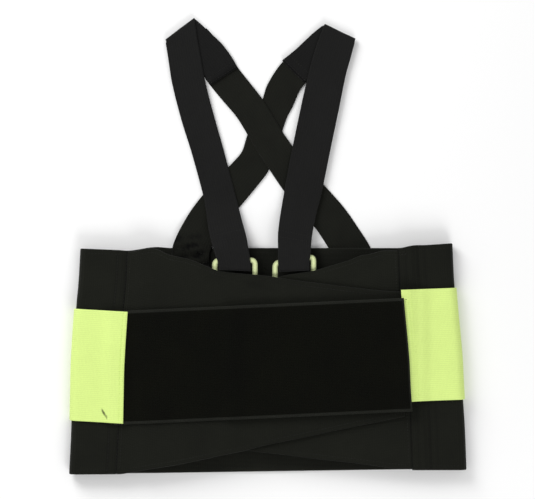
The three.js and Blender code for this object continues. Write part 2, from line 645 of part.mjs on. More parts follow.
// A front strap runs from its turned-back end round the loop, up the front, over the shoulder fold
// and down to the end of its tail
function frontStrap(side) {
  const FRONT_STEPS = 34;
  const FOLD_STEPS = 4;
  const TURN_BACK_STEPS = 9;
  const TAIL_STEPS = 7;
  const foot = footOf(side);
  const table = FRONT_STRAPS[side.name];
  const length = SHOULDER_RISE[side.name] - foot.y;
  const shoulderRadius = STRAP_STEP / 2;
  const lineAt = (up, lower = 0) => {
    const value = (column) => follow(table, 'up', column, up);
    const low = STRAP_WALL / 2 + STRAP_STEP * value('plies');
    const z = lerp(low, foot.z + FOOT_RADIUS, value('climb')) - lower;
    const middle = new THREE.Vector3(HALF_WIDTH * value('across'), foot.y + length * up, z);
    return acrossLine(middle, degToRad(value('turn')), STRAP_WIDTH * value('width'));
  };
  // Half turn at an end of the front ply, from the face towards the viewer to the one beneath
  const halfTurn = (up, radius, outward) => {
    const row = outward > 0 ? table[table.length - 1] : table[0];
    const turn = degToRad(row.turn);
    const out = new THREE.Vector3(-Math.sin(turn), Math.cos(turn), 0).multiplyScalar(outward);
    const edge = new THREE.Vector3(HALF_WIDTH * row.across, foot.y + length * up, 0);
    const centre = edge.addScaledVector(out, -(radius + STRAP_WALL / 2));
    const plies = STRAP_WALL / 2 + STRAP_STEP * row.plies;
    centre.z = outward > 0 ? plies - radius : foot.z;
    return Array.from({ length: FOLD_STEPS + 1 }, (_, step) => {
      const angle = (Math.PI * step) / FOLD_STEPS;
      const middle = centre.clone().addScaledVector(out, radius * Math.sin(angle));
      middle.z += radius * Math.cos(angle);
      return acrossLine(middle, turn, STRAP_WIDTH * row.width);
    });
  };
  // The turned-back ply keeps clear of the loop, then closes up under the front ply
  const clearOfLoop = LOOP_RISE[side.name].second + LOOP_WIDTH;
  const turnedBack = Array.from({ length: TURN_BACK_STEPS }, (_, step) => {
    const share = 1 - step / TURN_BACK_STEPS;
    const along = TURN_BACK * share;
    const closing = ease((along - clearOfLoop) / DRAPE);
    return lineAt(along / length, lerp(2 * FOOT_RADIUS, STRAP_STEP, closing));
  });
  const start = (FOOT_RADIUS + STRAP_WALL) / length;
  const end = 1 - (2 * STRAP_WALL) / length;
  const front = Array.from({ length: FRONT_STEPS + 1 }, (_, step) =>
    lineAt(lerp(start, end, (step + 1) / (FRONT_STEPS + 2))));
  const tailTable = STRAP_TAILS[side.name];
  const shoulder = table[table.length - 1];
  const tailZ = STRAP_WALL / 2 + STRAP_STEP * (shoulder.plies - 1);
  const tail = Array.from({ length: TAIL_STEPS }, (_, step) => {
    const value = (column) => follow(tailTable, 'along', column, (step + 1) / TAIL_STEPS);
    const middle = new THREE.Vector3(HALF_WIDTH * value('across'), foot.y + length * value('up'), tailZ);
    return acrossLine(middle, degToRad(value('turn')), STRAP_WIDTH * value('width'));
  });
  const footTurn = halfTurn(0, FOOT_RADIUS, -1).reverse();
  const shoulderTurn = halfTurn(1, shoulderRadius, 1);
  const grid = [...turnedBack, ...footTurn, ...front, ...shoulderTurn, ...tail].reverse();
  return piece(`suspender_front_${side.name}`, clothWall(grid, STRAP_WALL), COLOURS.webbing, 0.9);
}

function backStrap(side) {
  const grid = side.sign < 0 ? LEFT_BACK_GRID : backStrapGrid(side, BACK_STRAP_STEPS);
  const geometry = clothWall([...grid].reverse(), STRAP_WALL);
  return piece(`suspender_back_${side.name}`, geometry, COLOURS.webbing, 0.9);
}

// A loop comes out from behind the flap's edge on both sides of the strap's foot and passes
// through its fold
function strapLoop(side) {
  const STEPS = 30;
  const foot = footOf(side);
  const rise = LOOP_RISE[side.name];
  const underside = side.sign < 0 ? UNDERSIDES.flapLeft : UNDERSIDES.flapRight;
  const reach = foot.halfWidth + LOOP_CLEARANCE + LOOP_WIDTH / 2;
  const firstEdge = flapEdge(side, foot.x - reach, 'top');
  const secondEdge = flapEdge(side, foot.x + reach, 'top');
  const first = new THREE.Vector2(foot.x - reach, firstEdge + rise.first);
  const second = new THREE.Vector2(foot.x + reach, secondEdge + rise.second);
  const bar = second.clone().sub(first).setLength(LOOP_CORNER);
  const path = new THREE.Path();
  path.moveTo(first.x, firstEdge - LOOP_SEWN);
  path.lineTo(first.x, first.y - LOOP_CORNER);
  path.quadraticCurveTo(first.x, first.y, first.x + bar.x, first.y + bar.y);
  path.lineTo(second.x - bar.x, second.y - bar.y);
  path.quadraticCurveTo(second.x, second.y, second.x, second.y - LOOP_CORNER);
  path.lineTo(second.x, secondEdge - LOOP_SEWN);
  const points = path.getSpacedPoints(STEPS);
  const HIDDEN_MARGIN = 1.2;
  const CLIMB = 5;
  const grid = points.map((point, i) => {
    const ahead = points[Math.min(i + 1, STEPS)];
    const behind = points[Math.max(i - 1, 0)];
    const across = new THREE.Vector2(ahead.y - behind.y, behind.x - ahead.x).setLength(LOOP_WIDTH / 2);
    return [-1, 1].map((edge) => {
      const x = point.x + edge * across.x;
      const y = point.y + edge * across.y;
      const sewnZ = underside(x) - PLY_GAP - LOOP_WALL / 2;
      const out = y - flapEdge(side, x, 'top') - HIDDEN_MARGIN;
      return new THREE.Vector3(x, y, lerp(sewnZ, foot.z, ease(out / CLIMB)));
    });
  });
  return piece(`strap_loop_${side.name}`, clothWall(grid.reverse(), LOOP_WALL), COLOURS.lime, 0.8);
}

const { left, right } = SIDES;
const body = new THREE.Group();
body.add(backPanel(), sidePanel(left), sidePanel(right), frontFlap(left), frontFlap(right));
const closure = new THREE.Group();
closure.add(sidePull(left), sidePull(right), ...closureTabs());
const suspenders = new THREE.Group();
suspenders.add(frontStrap(left), frontStrap(right), backStrap(left), backStrap(right));
suspenders.add(strapLoop(left), strapLoop(right));

// The origin is on the surface, under the middle of the whole part
const belt = new THREE.Group();
belt.add(body, closure, suspenders);
const extent = new THREE.Box3().setFromObject(belt);
const centre = extent.getCenter(new THREE.Vector3());
belt.position.set(-centre.x, -centre.y, -extent.min.z);

export default belt;
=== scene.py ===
"""Lumbar lifting belt with suspenders: fabric pieces, stitching and stage."""

import math
from typing import NamedTuple

import bmesh
import bpy
import numpy as np
from bpy.props import FloatProperty, FloatVectorProperty, PointerProperty
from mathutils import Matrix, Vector, noise


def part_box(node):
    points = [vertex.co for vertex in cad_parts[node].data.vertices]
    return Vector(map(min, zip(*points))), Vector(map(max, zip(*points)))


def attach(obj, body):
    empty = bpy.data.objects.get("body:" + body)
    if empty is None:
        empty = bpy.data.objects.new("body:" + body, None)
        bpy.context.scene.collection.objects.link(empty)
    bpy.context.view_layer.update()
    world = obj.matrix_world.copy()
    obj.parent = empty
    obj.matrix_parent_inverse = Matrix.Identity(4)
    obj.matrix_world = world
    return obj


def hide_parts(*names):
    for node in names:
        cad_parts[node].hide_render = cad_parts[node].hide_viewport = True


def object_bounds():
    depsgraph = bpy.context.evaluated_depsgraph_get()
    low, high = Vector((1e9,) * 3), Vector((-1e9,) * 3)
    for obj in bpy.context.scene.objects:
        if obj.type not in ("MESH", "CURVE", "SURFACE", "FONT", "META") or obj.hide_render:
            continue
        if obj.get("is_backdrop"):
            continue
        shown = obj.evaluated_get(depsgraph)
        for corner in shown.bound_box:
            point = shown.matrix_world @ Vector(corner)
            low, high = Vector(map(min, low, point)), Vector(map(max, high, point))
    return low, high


bl_info = {
    "name": "Lumbar Lifting Belt",
    "version": (1, 0, 0),
    "blender": (4, 5, 0),
    "location": "3D View > Sidebar > Belt",
    "description": "Fabric pieces, stitching and stage for a lumbar lifting belt with suspenders",
    "category": "Object",
}

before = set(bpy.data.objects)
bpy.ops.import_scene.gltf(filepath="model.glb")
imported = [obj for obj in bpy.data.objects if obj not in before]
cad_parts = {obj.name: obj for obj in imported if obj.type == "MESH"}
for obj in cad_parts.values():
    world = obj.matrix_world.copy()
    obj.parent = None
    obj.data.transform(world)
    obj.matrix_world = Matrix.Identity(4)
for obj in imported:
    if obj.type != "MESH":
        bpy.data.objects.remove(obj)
CAD_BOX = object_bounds()
MM = 0.001

# Sizes of the belt in millimetres, the same as those of the frame
BELT_HEIGHT = 228
HALF_WIDTH = 200
PANEL_WALL = 2.4
HOLLOW = 8
FRONT_SWELL = 2
PLY_GAP = 0.42
SIDE_PANEL_FRONT = {"left": 48, "right": 55}
SIDE_PANEL_BACK = 46
FLAP_REACH = {"left": 137, "right": 122}
BAND_WALL = 1.6
BAND_HEIGHT = 112.5
BAND_BACK = 110
BAND_FRONT = {"left": 52.5, "right": 54.5}
BAND_DROP = {"left": 61, "right": 40}
BAND_TILT = {"left": -3.2, "right": 2}
TAB_WALL = 2.2
TAB_HEIGHT = 114
TAB_TILT = 2.66
TAB_LAP = 9
TAB_OVERLAP = 2
UNDER_TAB_HEIGHT = 100
UNDER_TAB_REACH = 32
UNDER_TAB_RAISE = 4
STRAP_WALL = 1.5
STRAP_WIDTH = 38
SHOULDER_RISE = {"left": 221, "right": 218.5}
SEWN_DEPTH = 20
FOOT_CLEARANCE = 2.5
TURN_BACK = 42
LOOP_WIDTH = 5.5
LOOP_WALL = 2
LOOP_CORNER = 4.5
LOOP_CLEARANCE = 1.2
LOOP_SEWN = 6
LOOP_RISE = {"left": (9, 14.5), "right": (15, 14)}
DRAPE = 12
DRAPE_MARGIN = 4

# Outline of the flattened belt, as shares of half the width and of the height
BELT_EDGES = {
    "across": (-1, -0.75, -0.71, -0.56, -0.48, 0, 0.66, 0.73, 0.8, 0.94),
    "top": (0, -0.009, -0.0115, 0.0044, 0, 0, 0, 0.0115, 0.0135, 0.022),
    "bottom": (0.002, 0.0035, 0.004, 0.005, 0.006, 0.0125, 0.021, 0.0215, 0.0215, 0.0215),
}
SIDE_FOLDS = {
    "down": (0, 0.14, 0.25, 0.5, 0.65, 0.8, 1),
    "left": (0.943, 0.952, 0.963, 0.981, 0.985, 0.989, 1),
    "right": (0.929, 0.936, 0.944, 0.97, 0.979, 0.991, 1),
}
FLAP_EDGES = {
    "left": {
        "across": (-0.733, -0.592, -0.4915, -0.391, -0.3005, -0.245, -0.14, -0.014, 0.112,
                   0.413, 0.564, 0.689),
        "top": (0.008, 0.003, 0.031, 0.0505, 0.083, 0.1018, 0.113, 0.1228, 0.1404,
                0.1754, 0.1908, 0.1974),
        "bottom": (1, 0.978, 0.966, 0.95, 0.934, 0.923, 0.906, 0.879, 0.858,
                   0.804, 0.779, 0.758),
    },
    "right": {
        "across": (-0.642, -0.275, -0.064, 0.086, 0.162, 0.227, 0.313, 0.413, 0.463,
                   0.514, 0.589, 0.689),
        "top": (0.2035, 0.1775, 0.1575, 0.122, 0.111, 0.102, 0.08, 0.0533, 0.0345,
                0.0265, 0.011, 0.011),
        "bottom": (0.819, 0.879, 0.906, 0.924, 0.933, 0.941, 0.951, 0.962, 0.968,
                   0.975, 0.985, 0.9955),
    },
}

# Straps from their lower end, up 0, to the shoulder, up 1. Turn is in degrees, plies and panels
# count the straps and panels beneath, climb is the share of the way up to the foot's level.
FRONT_STRAPS = {
    "left": {
        "up": (0, 0.037, 0.074, 0.128, 0.19, 0.26, 0.313, 0.498, 0.642, 0.786, 0.877, 0.942, 1),
        "across": (-0.165, -0.169, -0.18, -0.195, -0.214, -0.231, -0.245, -0.305, -0.357,
                   -0.401, -0.42, -0.433, -0.444),
        "width": (0.85, 0.87, 0.9, 0.93, 0.91, 0.86, 0.83, 0.84, 0.865, 0.87, 0.87, 0.9, 0.963),
        "turn": (-2.7, 0, 3, 10, 13, 13, 13, 14, 14, 14, 20, 29, 37),
        "plies": (1, 1, 1, 1, 1, 1, 1, 1, 1.2, 1.8, 2, 2, 2),
        "climb": (1, 1, 1, 0.72, 0.34, 0.08, 0, 0, 0, 0, 0, 0, 0),
    },
    "right": {
        "up": (0, 0.037, 0.074, 0.137, 0.19, 0.254, 0.33, 0.511, 0.67, 0.836, 0.919, 1),
        "across": (0.133, 0.13, 0.133, 0.135, 0.143, 0.157, 0.177, 0.22, 0.26, 0.304, 0.333,
                   0.365),
        "width": (0.807, 0.83, 0.86, 0.9, 0.92, 0.94, 0.98, 1, 1, 0.97, 0.96, 0.91),
        "turn": (2.7, 0, -3, -10, -12, -12, -12, -12, -12, -14, -19, -25.8),
        "plies": (1, 1, 1, 1, 1, 1.2, 2, 2, 2, 2, 2, 2),
        "climb": (1, 1, 1, 0.68, 0.36, 0.1, 0, 0, 0, 0, 0, 0),
    },
}
STRAP_TAILS = {
    "left": {
        "along": (0, 0.25, 0.5, 0.75, 1),
        "across": (-0.444, -0.371, -0.3, -0.25, -0.22),
        "up": (1, 0.951, 0.897, 0.844, 0.803),
        "width": (0.963, 0.9, 0.89, 0.87, 0.857),
        "turn": (37, 36, 35, 34, 33.5),
    },
    "right": {
        "along": (0, 0.3, 0.65, 1),
        "across": (0.365, 0.2975, 0.207, 0.127),
        "up": (1, 0.952, 0.882, 0.832),
        "width": (0.91, 0.9, 0.88, 0.83),
        "turn": (-25.8, -33, -40, -45),
    },
}
BACK_STRAPS = {
    "left": {
        "up": (0, 0.058, 0.129, 0.206, 0.29, 0.363, 0.454, 0.5375, 0.608, 0.671, 0.733, 0.8,
               0.892, 0.9625),
        "across": (0.46, 0.433, 0.378, 0.315, 0.227, 0.149, 0.0714, 0.0035, -0.0467, -0.0945,
                   -0.155, -0.22, -0.3, -0.376),
        "width": (0.95, 0.95, 0.95, 0.935, 0.925, 0.885, 0.86, 0.84, 0.83, 0.835, 0.86, 0.87,
                  0.87, 0.87),
        "turn": (12, 26, 35, 37, 38, 38, 35, 31, 31, 33, 33, 33.5, 35, 36),
        "plies": (0, 0, 0, 0, 0, 0.05, 0.95, 1, 1, 1, 0.5, 0, 0, 0),
    },
    "right": {
        "up": (0, 0.075, 0.12, 0.16, 0.2, 0.258, 0.333, 0.394, 0.45, 0.525, 0.6125, 0.671,
               0.727, 0.821, 0.871, 0.946),
        "across": (-0.391, -0.386, -0.366, -0.341, -0.313, -0.26, -0.18, -0.117, -0.0643,
                   -0.0342, 0.006, 0.0337, 0.0613, 0.1266, 0.207, 0.2925),
        "width": (1.05, 1, 0.98, 0.96, 0.95, 0.95, 0.93, 0.9, 0.87, 0.85, 0.83, 0.81, 0.9,
                  0.83, 0.88, 0.9),
        "turn": (-5, -12, -19, -27, -33.5, -44, -46, -43, -36, -30, -33, -36, -43, -45, -40,
                 -33),
        "panels": (1, 1, 1, 0.5, 0, 0, 0, 0, 0, 0, 0, 0, 0, 0, 0, 0),
    },
}

# Finer fabric detail, in millimetres. The sewn seams close up further than in the frame.
SEAM_GAP = 0.16
RIPPLE = 0.55
HEM_DEPTH = 6
HEM_RISE = 0.3
HEM_LINE = HEM_DEPTH - 1.6
HEM_LINE_SINK = 0.22
STAY_WIDTH = {"left": 9, "right": 10}
STAY_SET_BACK = {"left": 0.6, "right": 8}
STAY_RISE = 0.75
STAY_LINE_SINK = 0.3
# Painted shade along the stay channels: distance from the front seam, width and depth of the painted
# shade
STAY_SHADE_LINES = {
    "left": ((0.4, 2.6, 0.5), (9.4, 3.4, 0.35), (4.8, 5.0, 0.1)),
    "right": ((0.4, 2.6, 0.4), (8, 3.2, 0.32), (14, 4.0, 0.2), (19, 3.4, 0.36), (26.5, 4.0, 0.22)),
}
# Creases in the upper flap by the straps' feet: X and Y of the middle, turn, half length, height
CREASES = (
    (-38, -33, 12, 22, 0.55), (-10, -36, -14, 20, -0.5), (22, -34, 8, 24, 0.5),
    (44, -30, -20, 18, -0.4), (-62, -24, 32, 16, 0.45), (2, -47, 3, 34, 0.4),
)
CREASE_BREADTH = 3.2
TAB_BORDER = 3.2
TAB_END_BORDER = 1.5
PILE_RISE = 0.55
PUCKER_RISE = 1.7
PUCKER_SHADE = 1.1

# Distances between a wall's grid lines, the closer lines at its rims, and steps round its folds
SPACING = {"back_panel": 3.2, "side_panel": 3.0, "front_flap": 2.8, "side_pull": 2.6,
           "tab_down": 2.2, "tab_across": 2.4, "fold": 2.2, "strap_across": 4.0,
           "strap_back": 2.2, "strap_front": 2.4, "strap_tail": 2.6, "turned_back": 3.0,
           "loop_across": 1.2}
RIM_LINES = (0.25, 0.8, 1.8)
STRAP_RIM_LINES = (0.22, 0.7, 1.6)
LOOP_RIM_LINES = (0.25, 0.7)
AT_RIM = len(RIM_LINES) + 1
BEND_STEPS = 16
PANEL_BEND = 10
BAND_BEND = 12

# Stitching: how far beads rise from the cloth, the points of a row, the bead's share of the pitch,
# the straps' own pitch in metres, and where their rows lie
BEAD_RISE = 0.02
STATION_SPACING = 4.0
BEAD_SHARE = 0.78
STRAP_PITCH = 0.0026
STRAP_INSET = 2.2
BACK_INSET = 3
TAIL_ROWS = (2.6, 11)
TURN_BACK_ROWS = (TURN_BACK - 10, TURN_BACK - 4)

# Stage, in metres
FLOOR_REACH = 6.0
FLOOR_LEVEL = -0.0003
FLOOR_COLOUR = (0.93, 0.93, 0.93, 1)
SKY_STRENGTH = 0.5
LIGHTS = (("KeyLight", (-1.0, 1.3, 1.1), 1.1, 30), ("FillLight", (0.5, -1.6, 1.1), 1.0, 17))
SENSOR_WIDTH = 36
FOCUS_LEVEL = 0.012


class Side(NamedTuple):
    """One side of the belt as the viewer sees it."""

    name: str
    sign: int


LEFT = Side("left", -1)
RIGHT = Side("right", 1)
BOTH = (LEFT, RIGHT)

PANEL_STEP = PANEL_WALL + PLY_GAP
BAND_STEP = BAND_WALL + PLY_GAP
TAB_STEP = TAB_WALL + PLY_GAP
STRAP_STEP = STRAP_WALL + PLY_GAP
FRONT_FLOOR = BAND_STEP + PANEL_WALL + HOLLOW
FOOT_RADIUS = STRAP_WALL / 2 + PLY_GAP + LOOP_WALL / 2


def clamp(value, low=0.0, high=1.0):
    return min(max(value, low), high)


def lerp(a, b, share):
    return a + (b - a) * share


def ease(share):
    part = clamp(share)
    return part * part * (3 - 2 * part)


def bump(at, from_, to, soft):
    """1 between two places, easing to 0 over a soft margin inside each."""
    return ease((at - from_) / soft) * ease((to - at) / soft)


def groove(at, centre, width):
    """1 at a line, easing to 0 at half the width to either side."""
    return ease(1 - abs(at - centre) / (width / 2))


def follow(places, values, at):
    """Smooth value of a table's column, which doesn't overshoot its turning points."""
    last = len(places) - 1
    if at <= places[0]:
        return values[0]
    if at >= places[last]:
        return values[last]
    high = next(i for i, place in enumerate(places) if place > at)
    low = high - 1

    def slope(i):
        before, after = max(i - 1, 0), min(i + 1, last)
        turns = (values[i] - values[before]) * (values[after] - values[i]) <= 0
        if turns and 0 < i < last:
            return 0.0
        return (values[after] - values[before]) / (places[after] - places[before])

    span = places[high] - places[low]
    t = (at - places[low]) / span
    rise = 3 * t**2 - 2 * t**3
    bend = (t**3 - 2 * t**2 + t) * slope(low) + (t**3 - t**2) * slope(high)
    return (1 - rise) * values[low] + rise * values[high] + bend * span


def column(table, name, at):
    """Smooth value of a table's column at a place in its first column, 0 if it lacks the column."""
    return follow(next(iter(table.values())), table[name], at) if name in table else 0.0


def covered(at, start, end):
    """1 over a wall's span, easing to 0 past each of its edges."""
    before = (at - (start - DRAPE_MARGIN - DRAPE)) / DRAPE
    after = (end + DRAPE_MARGIN + DRAPE - at) / DRAPE
    return ease(before) * ease(after)


# Outline of the belt
def top_edge(x):
    return BELT_HEIGHT * column(BELT_EDGES, "top", x / HALF_WIDTH)


def bottom_edge(x):
    return BELT_HEIGHT * (column(BELT_EDGES, "bottom", x / HALF_WIDTH) - 1)


def belt_edges(x):
    return top_edge(x), bottom_edge(x)


def height_at(x, down):
    return lerp(*belt_edges(x), down)


def down_at(x, y):
    top, bottom = belt_edges(x)
    return (top - y) / (top - bottom)


def fold_reach(side, down):
    return HALF_WIDTH * column(SIDE_FOLDS, side.name, down)


def fold_at(side, y):
    return fold_reach(side, down_at(side.sign * HALF_WIDTH, y))


def front_seam(side, down):
    return side.sign * (fold_reach(side, down) - SIDE_PANEL_FRONT[side.name])


def back_seam(side, down):
    return side.sign * (fold_reach(side, down) - SIDE_PANEL_BACK)


def band_end(side, y):
    return side.sign * (fold_at(side, y) - BAND_FRONT[side.name])


def band_top(side, x):
    drop = BAND_DROP[side.name]
    fold = side.sign * fold_at(side, -drop)
    return (x - fold) * math.tan(math.radians(BAND_TILT[side.name])) - drop


def tab_middle(x):
    start = band_end(LEFT, -BAND_DROP["left"] - BAND_HEIGHT / 2)
    rise = (x - start) * math.tan(math.radians(TAB_TILT))
    return band_top(LEFT, start) - BAND_HEIGHT / 2 + rise


def flap_edge(side, x, edge):
    return height_at(x, column(FLAP_EDGES[side.name], edge, x / HALF_WIDTH))


def tab_start(y):
    return band_end(LEFT, y) - TAB_LAP


def under_tab_start(y):
    return band_end(RIGHT, y) + TAB_LAP


FLAP_RIGHT_TIP = -FLAP_REACH["right"]
FLAP_LEFT_TIP = FLAP_REACH["left"]
TAB_START = tab_start(tab_middle(0))
UNDER_TAB_TIP = -UNDER_TAB_REACH
UNDER_TAB_START = under_tab_start(tab_middle(0))
BAND_RIGHT_END = band_end(RIGHT, tab_middle(0))
INFINITE = math.inf

# Y of the belt's nominal top edge in the frame
TOP_EDGE_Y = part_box("back_panel")[0].y / MM - bottom_edge(back_seam(LEFT, 1))


def waves(x, y, across, down, seed):
    """Smooth noise between -1 and 1, with waves of about these two lengths."""
    return noise.noise(Vector((x / across, y / down, seed)))


def ripple(x, y):
    """Soft waves that all layers of the front share, so that they stay clear of each other."""
    reach = ease((HALF_WIDTH - 16 - abs(x)) / 45)
    return reach * RIPPLE * (waves(x, y, 58, 75, 3.1) + 0.3 * waves(x, y, 21, 27, 8.4))


def floor_at(x, y):
    swell = FRONT_SWELL * max(1 - (x / HALF_WIDTH) ** 2, 0) ** 2
    return FRONT_FLOOR + swell + ripple(x, y)


def right_flap_under(x):
    return PANEL_STEP * covered(x, FLAP_RIGHT_TIP, INFINITE)


def left_flap_under(x):
    return PANEL_STEP * covered(x, -INFINITE, FLAP_LEFT_TIP)


def under_tab_under(x):
    return TAB_STEP * covered(x, UNDER_TAB_TIP, UNDER_TAB_START)


# Undersides of the front walls, from what lies beneath each
UNDERSIDES = {
    "side": floor_at,
    "flap_right": floor_at,
    "flap_left": lambda x, y: floor_at(x, y) + right_flap_under(x),
    "band_left": lambda x, y: floor_at(x, y) + PANEL_STEP
    + TAB_STEP * covered(x, TAB_START, INFINITE),
    "under_tab": lambda x, y: floor_at(x, y) + PANEL_STEP + left_flap_under(x),
    "band_right": lambda x, y: floor_at(x, y) + PANEL_STEP + left_flap_under(x)
    + under_tab_under(x),
    "tab": lambda x, y: floor_at(x, y) + PANEL_STEP + right_flap_under(x)
    + under_tab_under(x) + BAND_STEP * covered(x, BAND_RIGHT_END, INFINITE),
}


def edged(length, spacing, rims=RIM_LINES):
    """Shares along a length, evenly spaced, with closer lines at both rims."""
    count = max(round(length / spacing), 3)
    even = [i / count for i in range(1, count)]
    near = [rim / length for rim in rims]
    inside = [share for share in even if 1.6 * near[-1] < share < 1 - 1.6 * near[-1]]
    return [0.0, *near, *inside, *[1 - share for share in reversed(near)], 1.0]


def normals_of(points):
    along = np.gradient(points, axis=1)
    down = np.gradient(points, axis=0)
    normal = np.cross(down, along)
    return normal / np.linalg.norm(normal, axis=2, keepdims=True)


def lengths_along(points, axis):
    """Running length along the middle line of a grid, in one direction."""
    middle = points[points.shape[0] // 2] if axis == 1 else points[:, points.shape[1] // 2]
    steps = np.linalg.norm(np.diff(middle, axis=0), axis=1)
    return np.concatenate([[0.0], np.cumsum(steps)])


def rim_share(distance, wall):
    """Share of the wall's thickness near its rounded rim."""
    near = np.clip(distance / (wall / 2), 0, 1)
    return 0.25 + 0.75 * np.sqrt(1 - (1 - near) ** 2)


def dress(mesh, uv, tone):
    """Gives a mesh the UV and the tone, with its painted light and shade, that the fabrics read,
    from values for each vertex.
    """
    corners = np.zeros(len(mesh.loops), int)
    mesh.loops.foreach_get("vertex_index", corners)
    layer = mesh.uv_layers.get("Weave") or mesh.uv_layers.new(name="Weave")
    layer.data.foreach_set("uv", uv[corners].ravel())
    shades = mesh.attributes.new("Tone", "FLOAT", "POINT")
    shades.data.foreach_set("value", tone)


def link_object(name, data):
    """New object in the scene."""
    thing = bpy.data.objects.new(name, data)
    bpy.context.scene.collection.objects.link(thing)
    return thing


class Wall:
    """A cloth wall about a grid of points on its middle surface, in millimetres. Relief is a rule
    for the height added to its upper face, tone one for its random tone and the light and shade
    painted into its colour."""

    def __init__(self, grid, wall, relief, tone=None):
        self.points = np.array([[tuple(point) for point in row] for row in grid], float)
        self.wall = wall
        self.u = lengths_along(self.points, 1)
        self.v = lengths_along(self.points, 0)
        self.normals = normals_of(self.points)
        self.relief = np.array([[relief(*point) for point in row] for row in self.points], float)
        self.tone = np.ones(self.points.shape[:2])
        if tone:
            for row, v in enumerate(self.v):
                for place, u in enumerate(self.u):
                    x, y, _z = self.points[row, place]
                    self.tone[row, place] = tone(x, y, u, v)

    def rim_distance(self):
        across = np.minimum(self.u, self.u[-1] - self.u)
        down = np.minimum(self.v, self.v[-1] - self.v)
        return np.minimum(across[None, :], down[:, None])

    def faces(self):
        rows, columns = self.points.shape[:2]

        def at(row, place, lower=0):
            return (lower * rows + row) * columns + place

        faces = []
        for r in range(rows - 1):
            for c in range(columns - 1):
                faces.append((at(r, c), at(r + 1, c), at(r + 1, c + 1), at(r, c + 1)))
                faces.append((at(r, c, 1), at(r, c + 1, 1), at(r + 1, c + 1, 1), at(r + 1, c, 1)))
        for c in range(columns - 1):
            for r, turn in ((0, 1), (rows - 1, -1)):
                faces.append((at(r, c), at(r, c + 1), at(r, c + 1, 1), at(r, c, 1))[::turn])
        for r in range(rows - 1):
            for c, turn in ((0, -1), (columns - 1, 1)):
                faces.append((at(r, c), at(r + 1, c), at(r + 1, c, 1), at(r, c, 1))[::turn])
        return faces

    def build(self, name, fabrics, fabric_of=None):
        """Mesh object in the frame, with the weave's UV in metres along and down the cloth."""
        share = rim_share(self.rim_distance(), self.wall)[..., None]
        half = self.normals * (self.wall / 2)
        upper = self.points + half * share + self.normals * (self.relief[..., None] * share)
        lower = self.points - half * share
        local = np.concatenate([upper.reshape(-1, 3), lower.reshape(-1, 3)])
        local[:, 1] += TOP_EDGE_Y
        mesh = bpy.data.meshes.new(name)
        mesh.from_pydata((local * MM).tolist(), [], self.faces())
        uv = np.stack(np.meshgrid(self.u * MM, self.v * MM), axis=-1).reshape(-1, 2)
        dress(mesh, np.concatenate([uv, uv]), np.tile(self.tone.ravel(), 2))
        for label in fabrics:
            mesh.materials.append(fabric(label))
        if fabric_of:
            rows, columns = self.points.shape[0] - 1, self.points.shape[1] - 1
            for index in range(2 * rows * columns):
                place = divmod(index // 2, columns)
                mesh.polygons[index].material_index = fabric_of(self, *place, index % 2 == 0)
        mesh.polygons.foreach_set("use_smooth", [True] * len(mesh.polygons))
        shell = bmesh.new()
        shell.from_mesh(mesh)
        bmesh.ops.recalc_face_normals(shell, faces=shell.faces)
        shell.to_mesh(mesh)
        shell.free()
        return link_object(name, mesh)

    def flat_size(self):
        """Width, length and area of the cloth as cut, in metres."""
        across = np.linalg.norm(np.diff(self.points, axis=1), axis=2).sum(axis=1)
        down = np.linalg.norm(np.diff(self.points, axis=0), axis=2).sum(axis=0)
        cells = np.cross(
            self.points[1:, :-1] - self.points[:-1, :-1],
            self.points[:-1, 1:] - self.points[:-1, :-1],
        )
        area = np.linalg.norm(cells, axis=2).sum() * MM * MM
        width, length = across.max() * MM, down.max() * MM
        return width, length, min(area, width * length)

    def strap_size(self):
        """Width and length of a strap, in metres, with no area of its own."""
        return STRAP_WIDTH * MM, self.v[-1] * MM, None


def settle(piece, nodes, flat):
    """Puts a finished piece in the frame, in place of its CAD nodes."""
    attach(piece, "root")
    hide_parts(*nodes)


# Materials
def add_node(tree, kind, inputs=None, **settings):
    """New node. Each of its inputs takes a value or is linked to a socket."""
    node = tree.nodes.new(kind)
    for name, value in settings.items():
        setattr(node, name, value)
    for key, value in (inputs or {}).items():
        if isinstance(value, bpy.types.NodeSocket):
            tree.links.new(value, node.inputs[key])
        else:
            node.inputs[key].default_value = value
    return node


def math_node(tree, operation, *values):
    inputs = dict(enumerate(values))
    return add_node(tree, "ShaderNodeMath", inputs, operation=operation).outputs[0]


def mix_colour(tree, factor, a, b, blend="MIX"):
    inputs = {0: factor, 6: a, 7: b}
    return add_node(tree, "ShaderNodeMix", inputs, data_type="RGBA", blend_type=blend).outputs[2]


def thread_wave(tree, coordinate, pitch):
    """0 between the threads to 1 on top of them, across one direction of the weave."""
    turned = math_node(tree, "MULTIPLY", coordinate, math.pi / pitch)
    return math_node(tree, "ABSOLUTE", math_node(tree, "SINE", turned))


def noise_node(tree, vector, scale, detail):
    inputs = {"Vector": vector, "Scale": scale, "Detail": detail, "Roughness": 0.55}
    return add_node(tree, "ShaderNodeTexNoise", inputs).outputs["Fac"]


def ranged(tree, value, from_min, from_max, to_min, to_max):
    names = ("Value", "From Min", "From Max", "To Min", "To Max")
    inputs = dict(zip(names, (value, from_min, from_max, to_min, to_max)))
    return add_node(tree, "ShaderNodeMapRange", inputs).outputs["Result"]


def scaled_colour(colour, factor):
    return (*[min(channel * factor, 1.0) for channel in colour], 1)


class Scuff(NamedTuple):
    """A dark rubbed place on a fabric, in metres and degrees."""

    centre: tuple
    long_half: float
    short_half: float
    turn: float
    darkening: float


SCUFF_DEPTH = 0.006
SCUFF_COLOUR = (0.02, 0.022, 0.012, 1)
SCUFFS = (
    Scuff((-0.1648, -0.1672, 0.019), 0.0062, 0.0016, 118, 0.85),
    Scuff((-0.1618, -0.1716, 0.019), 0.0032, 0.0012, 100, 0.6),
)


